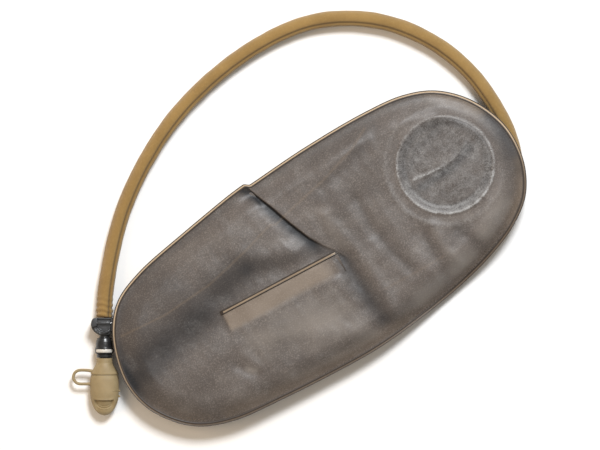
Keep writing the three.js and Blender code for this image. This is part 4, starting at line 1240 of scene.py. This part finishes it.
def add_lock():
    outline = lock_outline()
    body = in_mouth(pillow_slab(outline, -7.4, 5.5, 1.1))
    bore = in_mouth(lengthwise(turned([(0, -12), (5, -12), (5, 1), (0, 1)], 40)))
    add_piece("lock_body", body, "grey_plastic", "drink_line", "lock_housing", sharp=35, cuts=[bore])
    cheek = outline[(outline[:, 0] < -6.9) & (outline[:, 1] > -8.8)]
    cheek = np.vstack([cheek, [(-10.4, -9.0), (-6.8, -8.2), (-6.8, -0.5)]])
    left_cheek = pillow_slab(cheek, 4.5, 9.6, 0.45)
    right_side = [(8.9, -0.6), (6.4, -0.6), (6.4, -12.8), (8, -12.2), (8.9, -10)]
    right_cheek = pillow_slab(right_side, 4.5, 8.6, 0.3)
    front_bar = shifted(box_slab(6.6, 0.7, 4.9, 6.6, 0.5, 0.3), 0.1, -1.3, 0)
    waist = lengthwise(lathed(0.4, 40, (0, -16.9), (6.2, -16.9), (7.2, -15.6), (0, -15.4)))
    trim = in_mouth(joined(left_cheek, right_cheek, front_bar, waist))
    add_piece("lock_cheeks", trim, "grey_plastic", "drink_line", sharp=35)
    pin = in_mouth(tube(np.array([(-10.4, -5.2, 7.95), (8.9, -5.2, 7.95)]), 0.85, 24))
    add_piece("lock_axle", pin, "steel", "drink_line", "lock_pin")


def add_lever():
    """The thumb lever: a round bar on the axle, and a dished paddle with curved grip ridges."""
    bar_line = np.array([(x, -5.2, 7.95) for x in (-6.4, -6.1, -2, 2, 5.7, 6.0)])
    bar = tube(bar_line, lambda i, a: 1.9 if i in (0, 5) else 2.2, 32)
    y, share = np.meshgrid(np.linspace(-5.2, -15.6, 27), np.linspace(0, 1, 23), indexing="ij")
    narrow = np.sqrt(np.maximum(0.02, 1 - np.maximum(0, (-y - 10.2) / 5.5) ** 2.2))
    left = -1.2 - (5.1 + 3.1 * smoothstep(-8.9, -9.5, y)) * narrow
    x = left + share * (-1.2 + 7.2 * narrow - left)
    edge = smoothstep(0, 0.08, np.minimum(share, 1 - share)) * smoothstep(-15.7, -14.8, y)
    dish = -1.0 * bell(y + 9.2, 3.6) * (1 - 0.5 * (2 * share - 1) ** 2)
    arc = np.hypot(x, y + 5.4) - 1.2
    ridges = 0.42 * np.cos(arc * 2 * math.pi / 1.9) * smoothstep(3.5, 5.0, arc) * smoothstep(-7.5, -9.0, y)
    paddle = plate(x, y, 8.35 + (0.9 + dish + ridges) * edge, np.full(x.shape, 6.2))
    add_piece("lock_paddle", in_mouth(joined(bar, paddle)), "grey_plastic", "lever", "lock_lever", sharp=45)


add_lock()
add_lever()

# ------------------------------ the coupling


def add_socket():
    barrel = lathed(
        0.45, 96,
        (5.7, -30), (5.7, -34.4), (8.8, -34.4), (9.0, -33.8), (9.0, -29.2), (8.5, -28.6), (8.3, -26),
        (7.9, -23), (6.9, -19.8), (4.9, -19.2), (4.7, -13), (2.2, -13), (2.2, -22.4), (5.7, -22.6),
        (5.7, -30),
    )
    barrel = in_mouth(lengthwise(barrel))
    window = in_mouth(shifted(box_slab(8.3, 1.95, 2.6, 10, 1.6, 0.05), 0, -31.7, 0))
    add_piece(
        "coupling_barrel", barrel, "black_plastic", "drink_line", "coupling_socket", sharp=50, cuts=[window]
    )


def add_latch():
    """The release pill: a crowned strip bent round the barrel, with a nick in its middle."""
    v, x = np.meshgrid(np.linspace(-1.6, 1.6, 9), np.linspace(-8.0, 8.0, 45), indexing="ij")
    squeeze = np.sqrt(np.maximum(0, 1 - np.maximum(0, (abs(x) - 6.9) / 1.1) ** 2))
    y = -31.7 + v * (0.25 + 0.75 * squeeze)
    crown = 0.35 * (1 - (v / 1.6) ** 2)
    nick = 0.9 * bell(x, 0.35) * smoothstep(-0.2, 1.0, v)
    z = np.sqrt(8.72**2 - x * x) - 0.35 + crown - nick
    latch = in_mouth(plate(x, y, z, np.where(abs(x) < 4, 7.35, z - 1.2)))
    add_piece("coupling_latch", latch, "cream_plastic", "latch_button", "coupling_button", sharp=60)


def add_stem():
    stem = lathed(
        0.3, 72,
        (2.2, -54), (3.6, -54), (4.6, -51), (3.8, -50.6), (3.8, -38.2), (7.1, -38.2), (7.4, -37.7),
        (7.4, -34.75), (5.35, -34.7), (5.35, -28.4), (4.2, -28.4), (4.2, -26.6), (5.35, -26.6),
        (5.35, -23.4), (2.2, -23.4), (2.2, -54),
    )
    stem = in_mouth(lengthwise(stem))
    add_piece("coupling_stem", stem, "black_plastic", "mouthpiece", "coupling_plug", sharp=50)


add_socket()
add_latch()
add_stem()

# ------------------------------ the bite valve and its cover


def flattened(shape, share=0.7, start=44, end=54):
    """Round at its neck, and lower than it is wide from the parting line on."""
    points, faces = shape
    x, y, z = np.array(points).T
    return np.c_[x, y, z * (1 + (share - 1) * smoothstep(start, end, -y))], faces


def add_bite_valve():
    valve = lathed(
        1.0, 72,
        (0, -82), (5.5, -81.6), (7.2, -79.5), (7.2, -72), (5.8, -68), (5.8, -60), (6.6, -57), (6.6, -49),
        (5.6, -48.4), (4.9, -48.4), (4.9, -58), (2.6, -60), (2.6, -78), (0, -78),
    )
    valve = in_mouth(flattened(lengthwise(valve), 0.62, 60, 68))
    slit = in_mouth(shifted(box_slab(3.6, 3.5, -0.2, 0.2, 0.4, 0.05), 0, -80.5, 0))
    add_piece("bite_tip", valve, "silicone", "mouthpiece", "bite_valve", cuts=[slit])


def add_cover_neck():
    neck = lathed(
        0.8, 120,
        (4.3, -45), (4.3, -38.8), (7.5, -38.8), (7.7, -39.4), (7.7, -43.4), (8.6, -45.6), (12.2, -51.6),
        (13.05, -53.0), (13.05, -54.3), (12.3, -54.4), (7.0, -54.4), (7.0, -48), (4.3, -47.6), (4.3, -45),
        steps=5,
    )
    neck = in_mouth(flattened(lengthwise(neck)))
    add_piece("cover_neck", neck, "khaki_rubber", "mouthpiece", "cover_collar", sharp=55)


def with_thumb_hollow(shape):
    """The cover's shell with a brow across it, and a hollow with curved ridges down to its tip."""
    points, faces = shape
    x, y, z = np.array(points).T
    skin = 0.8 * np.interp(-y, [54, 80, 88, 92.7], [13.2, 12.8, 9.6, 2])
    on_top = (z > 0) & (np.hypot(x, z / 0.7) > skin) & (-93 < y) & (y < -74)
    from_brow = y + 78.8 - 0.9 * (x / 10) ** 2
    within = smoothstep(0.35, -0.5, from_brow) * smoothstep(11.2, 8.6, np.hypot(x, (y + 80.5) * 0.92))
    within *= smoothstep(11.0, 6.0, abs(x))
    arc = np.hypot(x, y + 76.4)
    ridge = 0.55 * np.cos((arc - 6.1) * 2 * math.pi / 2.3) * smoothstep(3.6, 4.6, arc)
    ridge *= smoothstep(11.6, 10.2, arc) * smoothstep(7.2, 5.0, abs(x))
    depth = 3.6 * smoothstep(-92, -80.5, y)
    lip = 0.35 * bell(from_brow - 0.7, 0.8) * smoothstep(10.5, 8.5, abs(x))
    return np.c_[x, y, z + on_top * (lip + within * (ridge - depth))], faces


def cover_line(y, start, end, count, lift):
    """A line across the cover's top."""
    x = np.linspace(start, end, count)
    return np.c_[x, np.full(count, y), 9.55 * np.sqrt(1 - (x / 13.7) ** 2) + lift]


def add_cover_cap():
    """The pull-off cap: an oval shell with a thumb hollow near its tip."""
    flank = catmull_rom(
        [
            (12.7, -55.3), (13.5, -59), (13.7, -66), (13.6, -72), (12.9, -78), (11.0, -84), (7.8, -89),
            (4.2, -92), (0, -93.2),
        ],
        10,
    )
    outside = [(12.2, -54.75), (12.5, -54.85), *flank[:-1], (0.02, -93.2)]
    inside = [(0.02, -88), (6, -86), (9.6, -80), (11.4, -72), (11.5, -58), (11.5, -54.75), (12.2, -54.75)]
    shell = with_thumb_hollow(flattened(lengthwise(turned((outside + inside)[::-1], 240))))
    dome = [(0, -0.9), (0.7, -0.7), (1.1, -0.2), (1.1, 0.5), (0.65, 1.1), (0, 1.3)]
    nub = moved(turned(dome, 20), Matrix.Rotation(math.pi / 2, 4, "Y"))
    marks = [shifted(nub, 13.7, y, 0.5) for y in (-69.7, -74.9)]
    marks.append(tube(cover_line(-69.7, 8.2, 13.2, 14, 0.05), 0.38, 8, up=(0, 1, 0)))
    for y in (-62.4, -64.0):
        marks.append(tube(cover_line(y, -8.8, -2.4, 12, 0.02), 0.16, 6, up=(0, 1, 0)))
    cap = in_mouth(joined(shell, *marks))
    add_piece("cover_shell", cap, "khaki_rubber", "cover", "cover_cap", sharp=50)


def add_cover_loop():
    """The tether cord: from the neck's side out in a loop and back to the shell's side."""
    ends, reach = (-50.2, -63.2), -29.4
    middle, bend = sum(ends) / 2, (ends[0] - ends[1]) / 2
    points = [(-11.2, ends[0] - 1.0, 0), (-14.5, ends[0] - 0.35, 0), (-18.5, ends[0], 0)]
    for turn in np.radians(np.linspace(90, 270, 11)):
        points.append((reach + bend + bend * math.cos(turn), middle + bend * math.sin(turn), 0))
    points += [(-18.5, ends[1], 0), (-13.2, ends[1], 0)]
    line = even_spacing(catmull_rom(points, 10), 0.6)
    share = np.linspace(0, 1, len(line))
    root = 0.45 * bell(share, 0.06) + 0.45 * bell(1 - share, 0.05)
    cord = in_mouth(tube(line, lambda i, angle: 1.4 + 0.6 * root[i], 16))
    piece = add_piece("cover_cord", cord, "khaki_rubber", None)
    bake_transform(piece)
    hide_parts("cover_tether")


add_bite_valve()
add_cover_neck()
add_cover_cap()
add_cover_loop()

# ------------------------------ carried-over pieces and the floor


def dress_carried_nodes():
    for name in ("elbow_o_ring", "coupling_o_ring"):
        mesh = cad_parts[name].data
        mesh.materials.clear()
        mesh.materials.append(SEAL)


def add_floor(size=4000):
    corners = [(-size, -size, 0), (size, -size, 0), (size, size, 0), (-size, size, 0)]
    add_mesh("floor", (corners, [(0, 1, 2, 3)]), floor_look(), None)


dress_carried_nodes()
add_floor()
